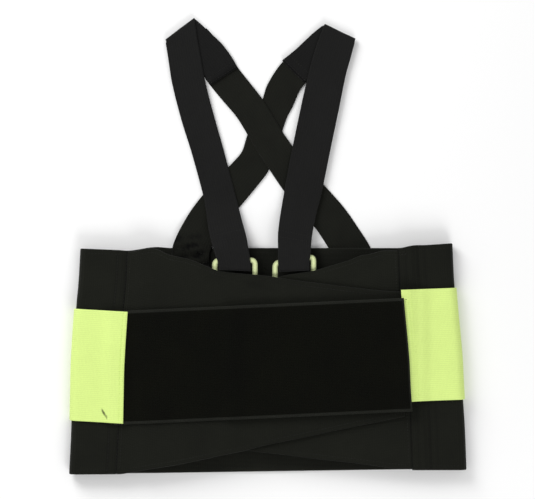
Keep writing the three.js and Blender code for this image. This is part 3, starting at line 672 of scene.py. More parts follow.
class Cloth(NamedTuple):
    """How a fabric is woven: the property that holds its colour, its pitch and thread height in
    metres, and the warp and weft as shares of the pitch. A pitch of 0 stands for the rib pitch."""

    colour: str
    pitch: float
    warp: float
    weft: float
    thread_height: float
    contrast: float
    blotch: float
    roughness: float
    sheen: float
    sheen_roughness: float = 0.4
    fuzz: float = 0.15
    scuffs: tuple = ()


ELASTIC = Cloth("elastic", 0, 1, 1.7, 0.00022, 0.22, 0.13, 0.88, 0.08)
LIME = Cloth("lime", 0, 1.5, 1.1, 0.00016, 0.05, 0.025, 0.8, 0.08, fuzz=0.04, scuffs=SCUFFS)
WEBBING = Cloth("webbing", 0.0011, 1, 2.2, 0.00022, 0.2, 0.08, 0.84, 0.1)
THREAD = Cloth("thread", 0.0004, 1, 1.25, 0.00005, 0.15, 0.05, 0.6, 0.2)
CLOTHS = {
    "OuterElastic": ELASTIC,
    "InnerElastic": ELASTIC._replace(colour="inner"),
    "HemTape": ELASTIC._replace(colour="tape", contrast=0.3),
    "LoopPile": Cloth("pile", 0.0016, 1, 1.1, 0.0004, 0.3, 0.2, 0.98, 0.03, 0.3, 0.35),
    "SuspenderWebbing": WEBBING,
    "BackWebbing": WEBBING._replace(colour="webbing_back"),
    "LimeElastic": LIME,
    "LoopElastic": Cloth("loop", 0.0012, 1, 0.8, 0.00016, 0.08, 0.03, 0.8, 0.08, fuzz=0.05),
    "DarkThread": THREAD,
    "LimeThread": THREAD._replace(colour="lime"),
}


def cloth_material(name, cloth):
    """Woven fabric from its own UV, with blotches and fibre noise from Object coordinates."""
    scene = bpy.context.scene
    own_colour = getattr(scene.belt_colours, cloth.colour)
    pitch = cloth.pitch or scene.belt_sizes.rib_pitch
    material = bpy.data.materials.new(name)
    material.use_nodes = True
    tree = material.node_tree
    tree.nodes.clear()
    here = add_node(tree, "ShaderNodeTexCoord").outputs["Object"]
    weave = add_node(tree, "ShaderNodeUVMap", uv_map="Weave")
    split = add_node(tree, "ShaderNodeSeparateXYZ", {0: weave.outputs[0]})
    warp = thread_wave(tree, split.outputs["Y"], cloth.warp * pitch)
    weft = thread_wave(tree, split.outputs["X"], cloth.weft * pitch)
    threads = math_node(tree, "MULTIPLY", warp, math_node(tree, "ADD", 0.35, weft))
    fibres = noise_node(tree, here, 1400, 2.0)
    blotches = noise_node(tree, here, 26, 4.0)
    dark = scaled_colour(own_colour, 1 - cloth.contrast)
    light = scaled_colour(own_colour, 1 + cloth.contrast)
    tone = mix_colour(tree, ranged(tree, threads, 0.1, 1.2, 0, 1), dark, light)
    shade = ranged(tree, blotches, 0.3, 0.7, 1 - cloth.blotch, 1 + cloth.blotch)
    fleck = ranged(tree, fibres, 0.3, 0.7, 1 - cloth.fuzz, 1 + cloth.fuzz)
    # The mesh's Tone attribute multiplies the colour: random tone plus the light and shade painted
    # by the walls' tone rules
    tone_and_painted_light = add_node(tree, "ShaderNodeAttribute", attribute_name="Tone").outputs["Fac"]
    value = math_node(tree, "MULTIPLY", math_node(tree, "MULTIPLY", shade, fleck), tone_and_painted_light)
    grey = add_node(tree, "ShaderNodeCombineXYZ", {0: value, 1: value, 2: value})
    colour = mix_colour(tree, 1.0, tone, grey.outputs[0], "MULTIPLY")
    for scuff in cloth.scuffs:
        inputs = {
            "Vector": here,
            "Location": scuff.centre,
            "Rotation": (0, 0, math.radians(scuff.turn)),
            "Scale": (scuff.long_half, scuff.short_half, SCUFF_DEPTH),
        }
        placed = add_node(tree, "ShaderNodeMapping", inputs, vector_type="TEXTURE")
        away = add_node(tree, "ShaderNodeVectorMath", {0: placed.outputs[0]}, operation="LENGTH")
        ragged = math_node(tree, "MULTIPLY", noise_node(tree, here, 900, 3.0), 0.8)
        far = math_node(tree, "ADD", away.outputs["Value"], ragged)
        rubbed = ranged(tree, far, 0.75, 1.35, scuff.darkening, 0)
        colour = mix_colour(tree, rubbed, colour, SCUFF_COLOUR)
    relief = math_node(tree, "ADD", threads, math_node(tree, "MULTIPLY", fibres, 0.5))
    inputs = {"Strength": 0.8, "Distance": cloth.thread_height, "Height": relief}
    raised = add_node(tree, "ShaderNodeBump", inputs)
    shader = add_node(tree, "ShaderNodeBsdfPrincipled", {
        "Base Color": colour,
        "Normal": raised.outputs[0],
        "Roughness": cloth.roughness,
        "Specular IOR Level": 0.12,
        "Sheen Weight": cloth.sheen,
        "Sheen Roughness": cloth.sheen_roughness,
    })
    add_node(tree, "ShaderNodeOutputMaterial", {"Surface": shader.outputs[0]})
    return material


def fabric(name):
    """Material of a fabric, made when it is first needed."""
    return bpy.data.materials.get(name) or cloth_material(name, CLOTHS[name])


# Stitching
def stitch_tree():
    """Geometry nodes: one thread bead for each pitch along every path of the mesh."""
    name = "StitchRow"
    if name in bpy.data.node_groups:
        return bpy.data.node_groups[name]
    tree = bpy.data.node_groups.new(name, "GeometryNodeTree")
    for label, direction, kind in (
        ("Paths", "INPUT", "Geometry"),
        ("Stitch Pitch", "INPUT", "Float"),
        ("Stitch Length", "INPUT", "Float"),
        ("Thread Radius", "INPUT", "Float"),
        ("Thread", "INPUT", "Material"),
        ("Stitches", "OUTPUT", "Geometry"),
    ):
        tree.interface.new_socket(label, in_out=direction, socket_type=f"NodeSocket{kind}")
    given = add_node(tree, "NodeGroupInput").outputs
    curve = add_node(tree, "GeometryNodeMeshToCurve", {"Mesh": given["Paths"]})
    inputs = {"Curve": curve.outputs["Curve"], "Length": given["Stitch Pitch"]}
    spread = add_node(tree, "GeometryNodeResampleCurve", inputs, mode="LENGTH")
    tangent = add_node(tree, "GeometryNodeInputTangent")
    inputs = {"Vector": tangent.outputs[0]}
    align = add_node(tree, "FunctionNodeAlignRotationToVector", inputs, axis="X")
    bead = add_node(tree, "GeometryNodeMeshUVSphere", {"Segments": 6, "Rings": 5, "Radius": 1})
    smooth = add_node(tree, "GeometryNodeSetShadeSmooth", {"Geometry": bead.outputs["Mesh"]})
    half = math_node(tree, "MULTIPLY", given["Stitch Length"], 0.5)
    radius = given["Thread Radius"]
    size = add_node(tree, "ShaderNodeCombineXYZ", {"X": half, "Y": radius, "Z": radius})
    place = add_node(tree, "GeometryNodeInstanceOnPoints", {
        "Points": spread.outputs["Curve"],
        "Instance": smooth.outputs["Geometry"],
        "Rotation": align.outputs["Rotation"],
        "Scale": size.outputs["Vector"],
    })
    inputs = {"Geometry": place.outputs["Instances"]}
    real = add_node(tree, "GeometryNodeRealizeInstances", inputs)
    inputs = {"Geometry": real.outputs["Geometry"], "Material": given["Thread"]}
    paint = add_node(tree, "GeometryNodeSetMaterial", inputs)
    add_node(tree, "NodeGroupOutput", {"Stitches": paint.outputs["Geometry"]})
    return tree


def stitches(name, paths, thread, pitch=None):
    """Plain mesh of the stitches along paths, which are lists of points in local millimetres."""
    sizes = bpy.context.scene.belt_sizes
    points, edges = [], []
    for path in paths:
        start = len(points)
        points += [(x * MM, (y + TOP_EDGE_Y) * MM, z * MM) for x, y, z in path]
        edges += [(start + i, start + i + 1) for i in range(len(path) - 1)]
    mesh = bpy.data.meshes.new(name + "Paths")
    mesh.from_pydata(points, edges, [])
    source = link_object(name + "Paths", mesh)
    modifier = source.modifiers.new("Stitches", "NODES")
    modifier.node_group = stitch_tree()
    values = {
        "Stitch Pitch": pitch or sizes.stitch_pitch,
        "Stitch Length": BEAD_SHARE * (pitch or sizes.stitch_pitch),
        "Thread Radius": sizes.thread_radius,
        "Thread": fabric(thread),
    }
    for item in modifier.node_group.interface.items_tree:
        if item.in_out == "INPUT" and item.name in values:
            modifier[item.identifier] = values[item.name]
    graph = bpy.context.evaluated_depsgraph_get()
    made = bpy.data.meshes.new_from_object(source.evaluated_get(graph))
    made.name = name
    bpy.data.objects.remove(source)
    if not made.polygons:
        raise RuntimeError(f"{name} has no stitches")
    places = np.zeros(len(made.vertices) * 3)
    made.vertices.foreach_get("co", places)
    dress(made, places.reshape(-1, 3)[:, :2], np.ones(len(made.vertices)))
    piece = link_object(name, made)
    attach(piece, "root")
    return piece


def on_top(level, wall, xy, lift=0.0):
    """Path on the upper face of a front wall through points given by X and Y."""
    top = wall + BEAD_RISE + lift
    return [(x, y, UNDERSIDES[level](x, y) + top) for x, y in xy]


def stations(start, end):
    """Evenly spaced places along a row of stitches."""
    count = max(int(abs(end - start) / STATION_SPACING), 2)
    return [lerp(start, end, i / count) for i in range(count + 1)]


def line_path(middle, turn, width, inset, lift):
    """Row of stitches across a strap."""
    half = Vector((math.cos(turn), math.sin(turn), 0)) * (width / 2 - inset)
    rise = Vector((0, 0, STRAP_WALL / 2 + lift))
    return [tuple(middle + half * lerp(-1, 1, i / 12) + rise) for i in range(13)]


# Back
def strap_line(table, at, y, z):
    """Middle, turn and width of the line across a strap, from its table."""
    middle = Vector((HALF_WIDTH * column(table, "across", at), y, z))
    turn = math.radians(column(table, "turn", at))
    return middle, turn, STRAP_WIDTH * column(table, "width", at)


def back_strap_line(side, up):
    table = BACK_STRAPS[side.name]
    plies = max(column(table, "plies", up), 0)
    z = STRAP_WALL / 2 + STRAP_STEP * plies + PANEL_STEP * column(table, "panels", up)
    return strap_line(table, up, lerp(-SEWN_DEPTH, SHOULDER_RISE[side.name], up), z)


def strap_under_panel():
    """Least and greatest X and lowest Y of the strap's end beneath the back panel."""
    ends = []
    for share in np.linspace(0, 0.12, 9):
        middle, turn, width = back_strap_line(LEFT, share)
        for half in (-width / 2, width / 2):
            ends.append((middle.x + half * math.cos(turn), middle.y + half * math.sin(turn)))
    xs, ys = zip(*[end for end in ends if end[1] < 0])
    return min(xs), max(xs), min(ys)


STRAP_UNDER = strap_under_panel()


def lift_at(x, y):
    """Height of the back's underside above the lime bands' ends and the strap's end."""
    bands = 0.0
    for side in BOTH:
        inner = side.sign * (fold_at(side, y) - BAND_BACK)
        ends = (-INFINITE, inner) if side is LEFT else (inner, INFINITE)
        top = band_top(side, x)
        bands += covered(x, *ends) * covered(y, top - BAND_HEIGHT, top)
    low_x, high_x, low_y = STRAP_UNDER
    strap = covered(x, low_x, high_x) * covered(y, low_y, INFINITE)
    return BAND_STEP * bands + STRAP_STEP * strap


def hem_relief(distance):
    """Turned and stitched edge: a low step with a groove along its stitches."""
    step = HEM_RISE * ease((HEM_DEPTH - distance) / 1.2)
    return step - HEM_LINE_SINK * groove(distance, HEM_LINE, 1.8)


def inward(edges, x, y):
    """Distance from the nearer of a wall's two edges."""
    top, bottom = edges(x)
    return min(top - y, y - bottom)


def back_panel_wall():
    columns = edged(2 * (HALF_WIDTH - SIDE_PANEL_BACK), SPACING["back_panel"])
    grid = []
    for down in edged(BELT_HEIGHT, SPACING["back_panel"]):
        start = back_seam(LEFT, down) + SEAM_GAP / 2
        end = back_seam(RIGHT, down) - SEAM_GAP / 2
        line = []
        for share in columns:
            x = lerp(start, end, share)
            y = height_at(x, down)
            line.append((x, y, lift_at(x, y) + PANEL_WALL / 2))
        grid.append(line)

    def relief(x, y, _z):
        return hem_relief(inward(belt_edges, x, y)) + 0.12 * waves(x, y, 30, 30, 5.5)

    # Painted light: lighter within about 34 mm of the bottom edge. Painted shade along the groove of
    # the bottom hem's stitching.
    def tone(x, y, _u, _v):
        edge = y - bottom_edge(x)
        return 0.95 + 0.32 * ease((34 - edge) / 20) - 0.15 * groove(edge, HEM_LINE, 2.6)

    return Wall(grid, PANEL_WALL, relief, tone)


# Walls round the side folds
class Fold(NamedTuple):
    """One row of a wall round a side fold: the fold's reach and Y, the level of the wall's middle
    at the back, and the X of its ends at the back and at the front."""

    reach: float
    y: float
    back_z: float
    back_end: float
    front_end: float


def fold_row(side, fold, wall, underside, y_at, spans):
    """Points of the row from the back to the front. y_at gives Y from X, spans are the usual
    lengths of the flat parts at the back and at the front."""
    front_z = underside(side.sign * fold.reach, fold.y) + wall / 2
    radius = (front_z - fold.back_z) / 2
    centre = side.sign * (fold.reach - radius - wall / 2)
    row = []
    for share in edged(spans[0], SPACING["fold"])[:-AT_RIM] + [1.0]:
        x = lerp(fold.back_end, centre, share)
        row.append((x, y_at(x), fold.back_z))
    for step in range(1, BEND_STEPS):
        angle = math.pi * (step / BEND_STEPS - 0.5)
        x = centre + side.sign * radius * math.cos(angle)
        row.append((x, y_at(x), fold.back_z + radius + radius * math.sin(angle)))
    for share in [0.0] + edged(spans[1], SPACING["fold"])[AT_RIM:]:
        x = lerp(centre, fold.front_end, share)
        row.append((x, y_at(x), underside(x, y_at(x)) + wall / 2))
    return row


def side_panel_wall(side):
    spans = (SIDE_PANEL_BACK - PANEL_BEND, SIDE_PANEL_FRONT[side.name] - PANEL_BEND)
    grid = []
    for down in edged(BELT_HEIGHT, SPACING["side_panel"]):
        reach = fold_reach(side, down)
        x, gap = side.sign * reach, side.sign * SEAM_GAP / 2
        y = height_at(x, down)
        fold = Fold(reach, y, lift_at(x, y) + PANEL_WALL / 2,
                    back_seam(side, down) + gap, front_seam(side, down) + gap)
        grid.append(fold_row(side, fold, PANEL_WALL, UNDERSIDES["side"],
                             lambda x, down=down: height_at(x, down), spans))
    if side is RIGHT:
        grid.reverse()
    first = STAY_SET_BACK[side.name]
    last = first + STAY_WIDTH[side.name]

    def from_seam(x, y):
        return side.sign * (x - front_seam(side, down_at(x, y)))

    def relief(x, y, z):
        hem = hem_relief(inward(belt_edges, x, y))
        if z < FRONT_FLOOR:
            return min(hem, 0)
        away = from_seam(x, y)
        band = covered(y, band_top(side, x) - BAND_HEIGHT, band_top(side, x))
        stay = STAY_RISE * bump(away, first, last, 2.6)
        lines = STAY_LINE_SINK * (groove(away, first, 1.8) + groove(away, last, 1.8))
        return (1 - 0.8 * band) * (stay - lines) + hem

    # Painted shade in lines along the stay channels on the front, and along the groove of the hem's
    # stitching
    def tone(x, y, u, _v):
        away = from_seam(x, y)
        lines = STAY_SHADE_LINES[side.name]
        dark = sum(depth * groove(away, place, width) for place, width, depth in lines)
        dark *= ease((u - SIDE_PANEL_BACK - 2) / 4)
        return 1 - dark - 0.15 * groove(inward(belt_edges, x, y), HEM_LINE, 2.4)

    return Wall(grid, PANEL_WALL, relief, tone)


def band_wall(side):
    spans = (BAND_BACK - BAND_BEND, BAND_FRONT[side.name] - BAND_BEND)
    grid = []
    for share in edged(BAND_HEIGHT, SPACING["side_pull"]):
        drop = BAND_HEIGHT * share
        y = -BAND_DROP[side.name] - drop
        reach = fold_at(side, y)
        fold = Fold(reach + BAND_STEP, y, BAND_WALL / 2,
                    side.sign * (reach - BAND_BACK), band_end(side, y))
        grid.append(fold_row(side, fold, BAND_WALL, UNDERSIDES[f"band_{side.name}"],
                             lambda x, drop=drop: band_top(side, x) - drop, spans))
    if side is RIGHT:
        grid.reverse()

    def edges(x):
        return band_top(side, x), band_top(side, x) - BAND_HEIGHT

    def relief(x, y, z):
        if z < FRONT_FLOOR:
            return 0.0
        away = abs(x - band_end(side, y))
        seam = 0.25 * ease((5 - away) / 1.5) if side is LEFT else 0
        rim = 0.14 * ease((2.4 - inward(edges, x, y)) / 1.2)
        return seam + 0.16 * waves(x, y, 9, 26, 2.2 * side.sign) + rim

    return Wall(grid, BAND_WALL, relief)


# Flat walls of the front
def flap_creases(x, y):
    """Shallow creases where the straps' feet pull at the flap."""
    rise = 0.0
    for middle_x, middle_y, turn, half_length, height in CREASES:
        angle = math.radians(turn)
        along = (x - middle_x) * math.cos(angle) + (y - middle_y) * math.sin(angle)
        across = (y - middle_y) * math.cos(angle) - (x - middle_x) * math.sin(angle)
        fall = (along / half_length) ** 2 + (across / CREASE_BREADTH) ** 2
        rise += height * math.exp(-fall)
    return rise


def front_grid(start, end, edges, level, wall, rows, columns):
    """Points between two ends, which depend on the share of the way down, and two edges, which
    depend on X. rows and columns are the shares down and across."""
    grid = []
    for share in rows:
        line = []
        for place in columns:
            x = lerp(start(share), end(share), place)
            y = lerp(*edges(x), share)
            line.append((x, y, UNDERSIDES[level](x, y) + wall / 2))
        grid.append(line)
    return grid


def flap_edges(side, x):
    return flap_edge(side, x, "top"), flap_edge(side, x, "bottom")


def flap_wall(side):
    def seam(share):
        return front_seam(side, share) - side.sign * SEAM_GAP / 2

    def tip(_share):
        return -side.sign * FLAP_REACH[side.name]

    def edges(x):
        return flap_edges(side, x)

    ends = (seam, tip) if side is LEFT else (tip, seam)
    rows = edged(0.85 * BELT_HEIGHT, SPACING["front_flap"])
    columns = edged(sum(FLAP_REACH.values()), SPACING["front_flap"])
    grid = front_grid(*ends, edges, f"flap_{side.name}", PANEL_WALL, rows, columns)

    def relief(x, y, _z):
        edge = inward(edges, x, y)
        if side is RIGHT:
            return hem_relief(edge)
        return hem_relief(edge) + flap_creases(x, y) * ease((edge - 3) / 6) * ease((y + 62) / 8)

    # Painted shade along the hem's stitched groove and at the rim, and painted light and shade on
    # the creases, offset to one side
    def tone(x, y, _u, _v):
        edge = inward(edges, x, y)
        shade = 1 - 0.12 * groove(edge, HEM_LINE, 2.6) - 0.22 * ease((1.6 - edge) / 1.6)
        if side is LEFT:
            shade += 0.35 * min(flap_creases(x, y + 1.6), 0.2) * ease((edge - 3) / 6)
        return shade

    return Wall(grid, PANEL_WALL, relief, tone)


class TabShape(NamedTuple):
    """A closure tab: how far its middle line is raised, its height and its level."""

    rise: float
    height: float
    level: str


UPPER_TAB = TabShape(0, TAB_HEIGHT, "tab")
UNDER_TAB = TabShape(UNDER_TAB_RAISE, UNDER_TAB_HEIGHT, "under_tab")


def tab_edges(shape, x):
    middle = tab_middle(x) + shape.rise
    return middle + shape.height / 2, middle - shape.height / 2


def tab_ends(shape):
    """Rules for the X of a tab's two ends, from a share of the way down."""

    def y_at(x, share):
        return lerp(*tab_edges(shape, x), share)

    if shape is UPPER_TAB:
        return (
            lambda share: tab_start(y_at(TAB_START, share)),
            lambda share: band_end(RIGHT, y_at(BAND_RIGHT_END, share)) + TAB_OVERLAP,
        )
    return (
        lambda share: UNDER_TAB_TIP,
        lambda share: under_tab_start(y_at(UNDER_TAB_START, share)),
    )


def tab_wall(shape):
    start, end = tab_ends(shape)
    rims = (*RIM_LINES, TAB_BORDER - 0.3, TAB_BORDER + 0.5)
    rows = edged(shape.height, SPACING["tab_down"], rims)
    columns = edged(end(0.5) - start(0.5), SPACING["tab_across"], rims)

    def edges(x):
        return tab_edges(shape, x)

    grid = front_grid(start, end, edges, shape.level, TAB_WALL, rows, columns)

    def relief(x, y, _z):
        if shape is UNDER_TAB:
            return 0.0
        share = (edges(x)[0] - y) / shape.height
        clear = ease((x - band_end(LEFT, y)) / 1.5)
        rim = min(inward(edges, x, y), end(share) - x + TAB_BORDER - TAB_END_BORDER)
        pile = clear * PILE_RISE * ease((rim - TAB_BORDER + 0.4) / 0.9)
        tufts = 0.16 * waves(x, y, 1.9, 1.9, 4.4)
        worn = 0.14 * waves(x, y, 14, 10, 6.1)
        return pile * (1 + tufts / PILE_RISE) + clear * worn * ease((rim - TAB_BORDER) / 4)

    def tone(x, y, _u, _v):
        # Painted shade over the step where the under tab ends beneath
        ridge_shade = 0.18 * bump(x, -46, -18, 9) if shape is UPPER_TAB else 0
        brushed = 0.1 * waves(x, y, 12, 40, 1.7)
        side_light = 0.12 * ease((-90 - x) / 60)
        return 1 - ridge_shade + brushed + side_light

    return Wall(grid, TAB_WALL, relief, tone)


def tab_fabric(wall, row, place, upper):
    """0 for the pile, 1 for the bound border and the underside."""
    v = (wall.v[row] + wall.v[row + 1]) / 2
    u = (wall.u[place] + wall.u[place + 1]) / 2
    inside_v = TAB_BORDER < v < wall.v[-1] - TAB_BORDER
    inside_u = u < wall.u[-1] - TAB_END_BORDER
    return 0 if upper and inside_v and inside_u else 1


# Straps
STRAP_SHARES = edged(STRAP_WIDTH, SPACING["strap_across"], STRAP_RIM_LINES)


def across_line(middle, turn, width):
    half = Vector((math.cos(turn), math.sin(turn), 0)) * width
    return [middle + half * (share - 0.5) for share in STRAP_SHARES]


def puckers(x, y):
    """Crosswise folds where the right back strap is sewn to the belt."""
    lean = y - 0.22 * x
    return waves(x, lean, 11, 3.4, 1.3) + 0.35 * math.sin(lean / 1.7)


def back_strap_wall(side):
    top = BACK_STRAPS[side.name]["up"][-1]
    shares = edged(top * SHOULDER_RISE[side.name], SPACING["strap_back"])
    grid = [across_line(*back_strap_line(side, top * share)) for share in reversed(shares)]

    def near(y):
        """Share of the puckers at a level: none on the left strap."""
        return ease((20 - y) / 16) if side is RIGHT else 0

    def relief(x, y, _z):
        soft = 0.22 * waves(x, y, 14, 11, 7.7 * side.sign)
        return soft + near(y) * PUCKER_RISE * max(puckers(x, y) + 0.3, 0)

    def tone(x, y, _u, _v):
        shade = 1 + 0.14 * waves(x, y, 10, 16, 3.9 * side.sign)
        return shade - near(y) * PUCKER_SHADE * ease((-puckers(x, y) - 0.02) / 0.4)

    return Wall(grid, STRAP_WALL, relief, tone)


class Foot(NamedTuple):
    """Where a front strap's fold lies beside its flap's edge."""

    x: float
    y: float
    z: float
    half_width: float
    level: str


def foot_of(side):
    table = FRONT_STRAPS[side.name]
    x = HALF_WIDTH * table["across"][0]
    level = f"flap_{side.name}"
    edge = flap_edge(side, x, "top")
    z = UNDERSIDES[level](x, edge) + PANEL_WALL / 2
    return Foot(x, edge + FOOT_CLEARANCE, z, STRAP_WIDTH * table["width"][0] / 2, level)


class FrontStrap:
    """Lines across a front strap, from its turned-back end round the loop and over the shoulder."""

    def __init__(self, side):
        self.side = side
        self.table = FRONT_STRAPS[side.name]
        self.foot = foot_of(side)
        self.length = SHOULDER_RISE[side.name] - self.foot.y

    def front(self, up, lower=0.0):
        low = STRAP_WALL / 2 + STRAP_STEP * column(self.table, "plies", up)
        climb = column(self.table, "climb", up)
        z = lerp(low, self.foot.z + FOOT_RADIUS, climb) - lower
        return strap_line(self.table, up, self.foot.y + self.length * up, z)

    def half_turn(self, up, radius, outward, steps):
        """Lines round the fold at the strap's lower end, outward -1, or its upper end, outward 1."""
        row = -1 if outward > 0 else 0
        turn = math.radians(self.table["turn"][row])
        out = Vector((-math.sin(turn), math.cos(turn), 0)) * outward
        across = HALF_WIDTH * self.table["across"][row]
        centre = Vector((across, self.foot.y + self.length * up, 0))
        centre -= out * (radius + STRAP_WALL / 2)
        plies = STRAP_WALL / 2 + STRAP_STEP * self.table["plies"][row]
        centre.z = plies - radius if outward > 0 else self.foot.z
        width = STRAP_WIDTH * self.table["width"][row]
        lines = []
        for step in range(steps + 1):
            angle = math.pi * step / steps
            offset = out * (radius * math.sin(angle))
            lift = Vector((0, 0, radius * math.cos(angle)))
            lines.append((centre + offset + lift, turn, width))
        return lines

    def turned_back(self):
        clear = LOOP_RISE[self.side.name][1] + LOOP_WIDTH
        lines = []
        for share in edged(TURN_BACK, SPACING["turned_back"])[:-AT_RIM]:
            along = TURN_BACK * (1 - share)
            lower = lerp(2 * FOOT_RADIUS, STRAP_STEP, ease((along - clear) / DRAPE))
            lines.append(self.front(along / self.length, lower))
        return lines

    def tail(self, along):
        table = STRAP_TAILS[self.side.name]
        y = self.foot.y + self.length * column(table, "up", along)
        z = STRAP_WALL / 2 + STRAP_STEP * (self.table["plies"][-1] - 1)
        return strap_line(table, along, y, z)

    def tail_length(self):
        places = [self.tail(i / 20)[0] for i in range(21)]
        return sum((b - a).length for a, b in zip(places, places[1:]))

    def lines(self):
        start = (FOOT_RADIUS + STRAP_WALL) / self.length
        end = 1 - 2 * STRAP_WALL / self.length
        count = round(self.length / SPACING["strap_front"])
        tail_shares = edged(self.tail_length(), SPACING["strap_tail"])[AT_RIM:]
        return [
            *self.turned_back(),
            *reversed(self.half_turn(0, FOOT_RADIUS, -1, 10)),
            *[self.front(lerp(start, end, (i + 1) / (count + 1))) for i in range(count)],
            *self.half_turn(1, STRAP_STEP / 2, 1, 8),
            *[self.tail(share) for share in tail_shares],
        ]

    def wall(self):
        grid = [across_line(*line) for line in reversed(self.lines())]
        tail_length = self.tail_length()

        def relief(x, y, _z):
            return 0.2 * waves(x, y, 13, 19, 9.3 * self.side.sign)

        # Painted shadow at the tail's end and along a line just inside it, and painted shadow at the
        # foot by the flap's edge; the tail is also darker
        def tone(_x, y, _u, v):
            end = 0.75 * ease((2.0 - v) / 1.2) + 0.22 * groove(v, 3.4, 2.2)
            fade = 0.2 * ease((tail_length - v) / 10)
            foot = 0.35 * ease((self.foot.y + 2.5 - y) / 2.5)
            return 1 - end - fade - foot

        return Wall(grid, STRAP_WALL, relief, tone)

    def stitch_paths(self):
        """Rows across the tail's end and the turned-back end, and rows that join the tail's."""
        length = self.tail_length()
        paths = [line_path(*self.tail(1 - back / length), STRAP_INSET, 0.1) for back in TAIL_ROWS]
        for sign in (-1, 1):
            row = []
            for i in range(6):
                middle, turn, width = self.tail(1 - lerp(*TAIL_ROWS, i / 5) / length)
                out = Vector((math.cos(turn), math.sin(turn), 0))
                spot = middle + out * sign * (width / 2 - STRAP_INSET)
                row.append((spot.x, spot.y, spot.z + STRAP_WALL / 2 + 0.1))
            paths.append(row)
        for along in TURN_BACK_ROWS:
            paths.append(line_path(*self.front(along / self.length), STRAP_INSET, 0.1))
        return paths


def loop_wall(side):
    foot = foot_of(side)
    underside = UNDERSIDES[foot.level]
    reach = foot.half_width + LOOP_CLEARANCE + LOOP_WIDTH / 2
    rises = LOOP_RISE[side.name]
    edges = [flap_edge(side, foot.x + sign * reach, "top") for sign in (-1, 1)]
    first = Vector((foot.x - reach, edges[0] + rises[0]))
    second = Vector((foot.x + reach, edges[1] + rises[1]))
    bar = (second - first).normalized() * LOOP_CORNER

    def leg(x, start, end, steps):
        return [Vector((x, lerp(start, end, i / 8))) for i in steps]

    def corner(a, b, c):
        return [a * (1 - t) ** 2 + b * 2 * t * (1 - t) + c * t**2
                for t in [i / 7 for i in range(1, 8)]]

    path = leg(first.x, edges[0] - LOOP_SEWN, first.y - LOOP_CORNER, range(9))
    path += corner(path[-1], first, first + bar)
    path += [(first + bar).lerp(second - bar, i / 12) for i in range(1, 13)]
    low = Vector((second.x, second.y - LOOP_CORNER))
    path += corner(path[-1], second, low)
    path += leg(second.x, low.y, edges[1] - LOOP_SEWN, range(1, 9))
    shares = edged(LOOP_WIDTH, SPACING["loop_across"], LOOP_RIM_LINES)
    grid = []
    for i, point in enumerate(path):
        ahead, behind = path[min(i + 1, len(path) - 1)], path[max(i - 1, 0)]
        across = Vector((ahead.y - behind.y, behind.x - ahead.x)).normalized() * LOOP_WIDTH
        line = []
        for share in shares:
            spot = point + across * (share - 0.5)
            sewn = underside(spot.x, spot.y) - PLY_GAP - LOOP_WALL / 2
            out = spot.y - flap_edge(side, spot.x, "top") - 1.2
            line.append((spot.x, spot.y, lerp(sewn, foot.z, ease(out / 5))))
        grid.append(line)
    grid.reverse()

    def relief(x, y, _z):
        return 0.1 * waves(x, y, 1.4, 1.4, 3.3)

    # Painted highlight along the middle of the loop and painted shade at its rims
    def tone(_x, _y, u, _v):
        return 1.12 - 0.62 * ease((1.5 - min(u, LOOP_WIDTH - u)) / 1.2)

    return Wall(grid, LOOP_WALL, relief, tone)


# Properties
def length_property(name, description, default, low, high, precision=3):
    return FloatProperty(
        name=name, description=description, default=default, min=low, max=high,
        unit="LENGTH", precision=precision,
    )


class BeltSizes(bpy.types.PropertyGroup):
    """Sizes of the fabric's detail and of the stage"""

    rib_pitch: length_property(
        "Rib Pitch", "Spacing of the elastic's woven ribs", 0.0013, 0.0005, 0.004, 4,
    )
    stitch_pitch: length_property(
        "Stitch Pitch", "Distance from one stitch to the next", 0.0032, 0.002, 0.008, 4,
    )
    thread_radius: length_property(
        "Thread Radius", "Half the thickness of the sewing thread", 0.00028, 0.0001, 0.001, 5,
    )
    camera_lens: FloatProperty(
        name="Camera Lens", description="Focal length of the camera above the belt, in mm",
        default=200.0, min=50.0, max=400.0,
    )
    seen_width: length_property(
        "Seen Width", "Width of the floor that the camera sees", 0.5376, 0.4, 1.0,
    )


def colour_property(name, description, default):
    return FloatVectorProperty(
        name=name, description=description, default=default,
        subtype="COLOR", size=3, min=0.0, max=1.0,
    )


class BeltColours(bpy.types.PropertyGroup):
    """Colours of the fabrics"""

    elastic: colour_property("Outer Elastic", "Outer face of the belt", (0.0072, 0.0078, 0.0053))
    # The inner face is kept a little lighter than the outer elastic as painted light on the back
    # panel, which lies in shade
    inner: colour_property("Inner Elastic", "Inner face of the belt", (0.0078, 0.0083, 0.006))
    tape: colour_property("Hem Tape", "Binding of the tab", (0.0112, 0.012, 0.0088))
    pile: colour_property("Loop Pile", "Pile of the closure tab", (0.0017, 0.0019, 0.0006))
    webbing: colour_property("Webbing", "Front suspenders", (0.0082, 0.0082, 0.008))
    webbing_back: colour_property("Back Webbing", "Back suspenders", (0.0068, 0.0072, 0.005))
    lime: colour_property("Lime Elastic", "Side pulls", (0.67, 0.845, 0.258))
    loop: colour_property("Pale Lime Elastic", "Strap loops", (0.63, 0.7, 0.37))
    thread: colour_property("Thread", "Sewing thread", (0.012, 0.012, 0.0105))


# Operators
def node_name(name):
    """Name of the CAD node that a piece stands for: side_panel_left for SidePanelLeft."""
    return "".join(f"_{c.lower()}" if c.isupper() else c for c in name).lstrip("_")


def add_sheet(title, side, wall, fabrics, paths,
              thread="DarkThread", pitch=None, flat=None, fabric_of=None):
    """Builds a wall and its stitching, and puts them in the frame."""
    label = side.name.title() if side else ""
    piece = wall.build(title + label, fabrics, fabric_of)
    sewn = stitches(f"{title}Stitches{label}", paths, thread, pitch)
    settle(piece, [node_name(title + label)], flat or wall.flat_size())


class PieceOperator:
    """Makes a piece for each side of the belt"""

    bl_options = {"REGISTER", "UNDO"}

    def execute(self, context):
        for side in BOTH:
            self.make(side)
        return {"FINISHED"}


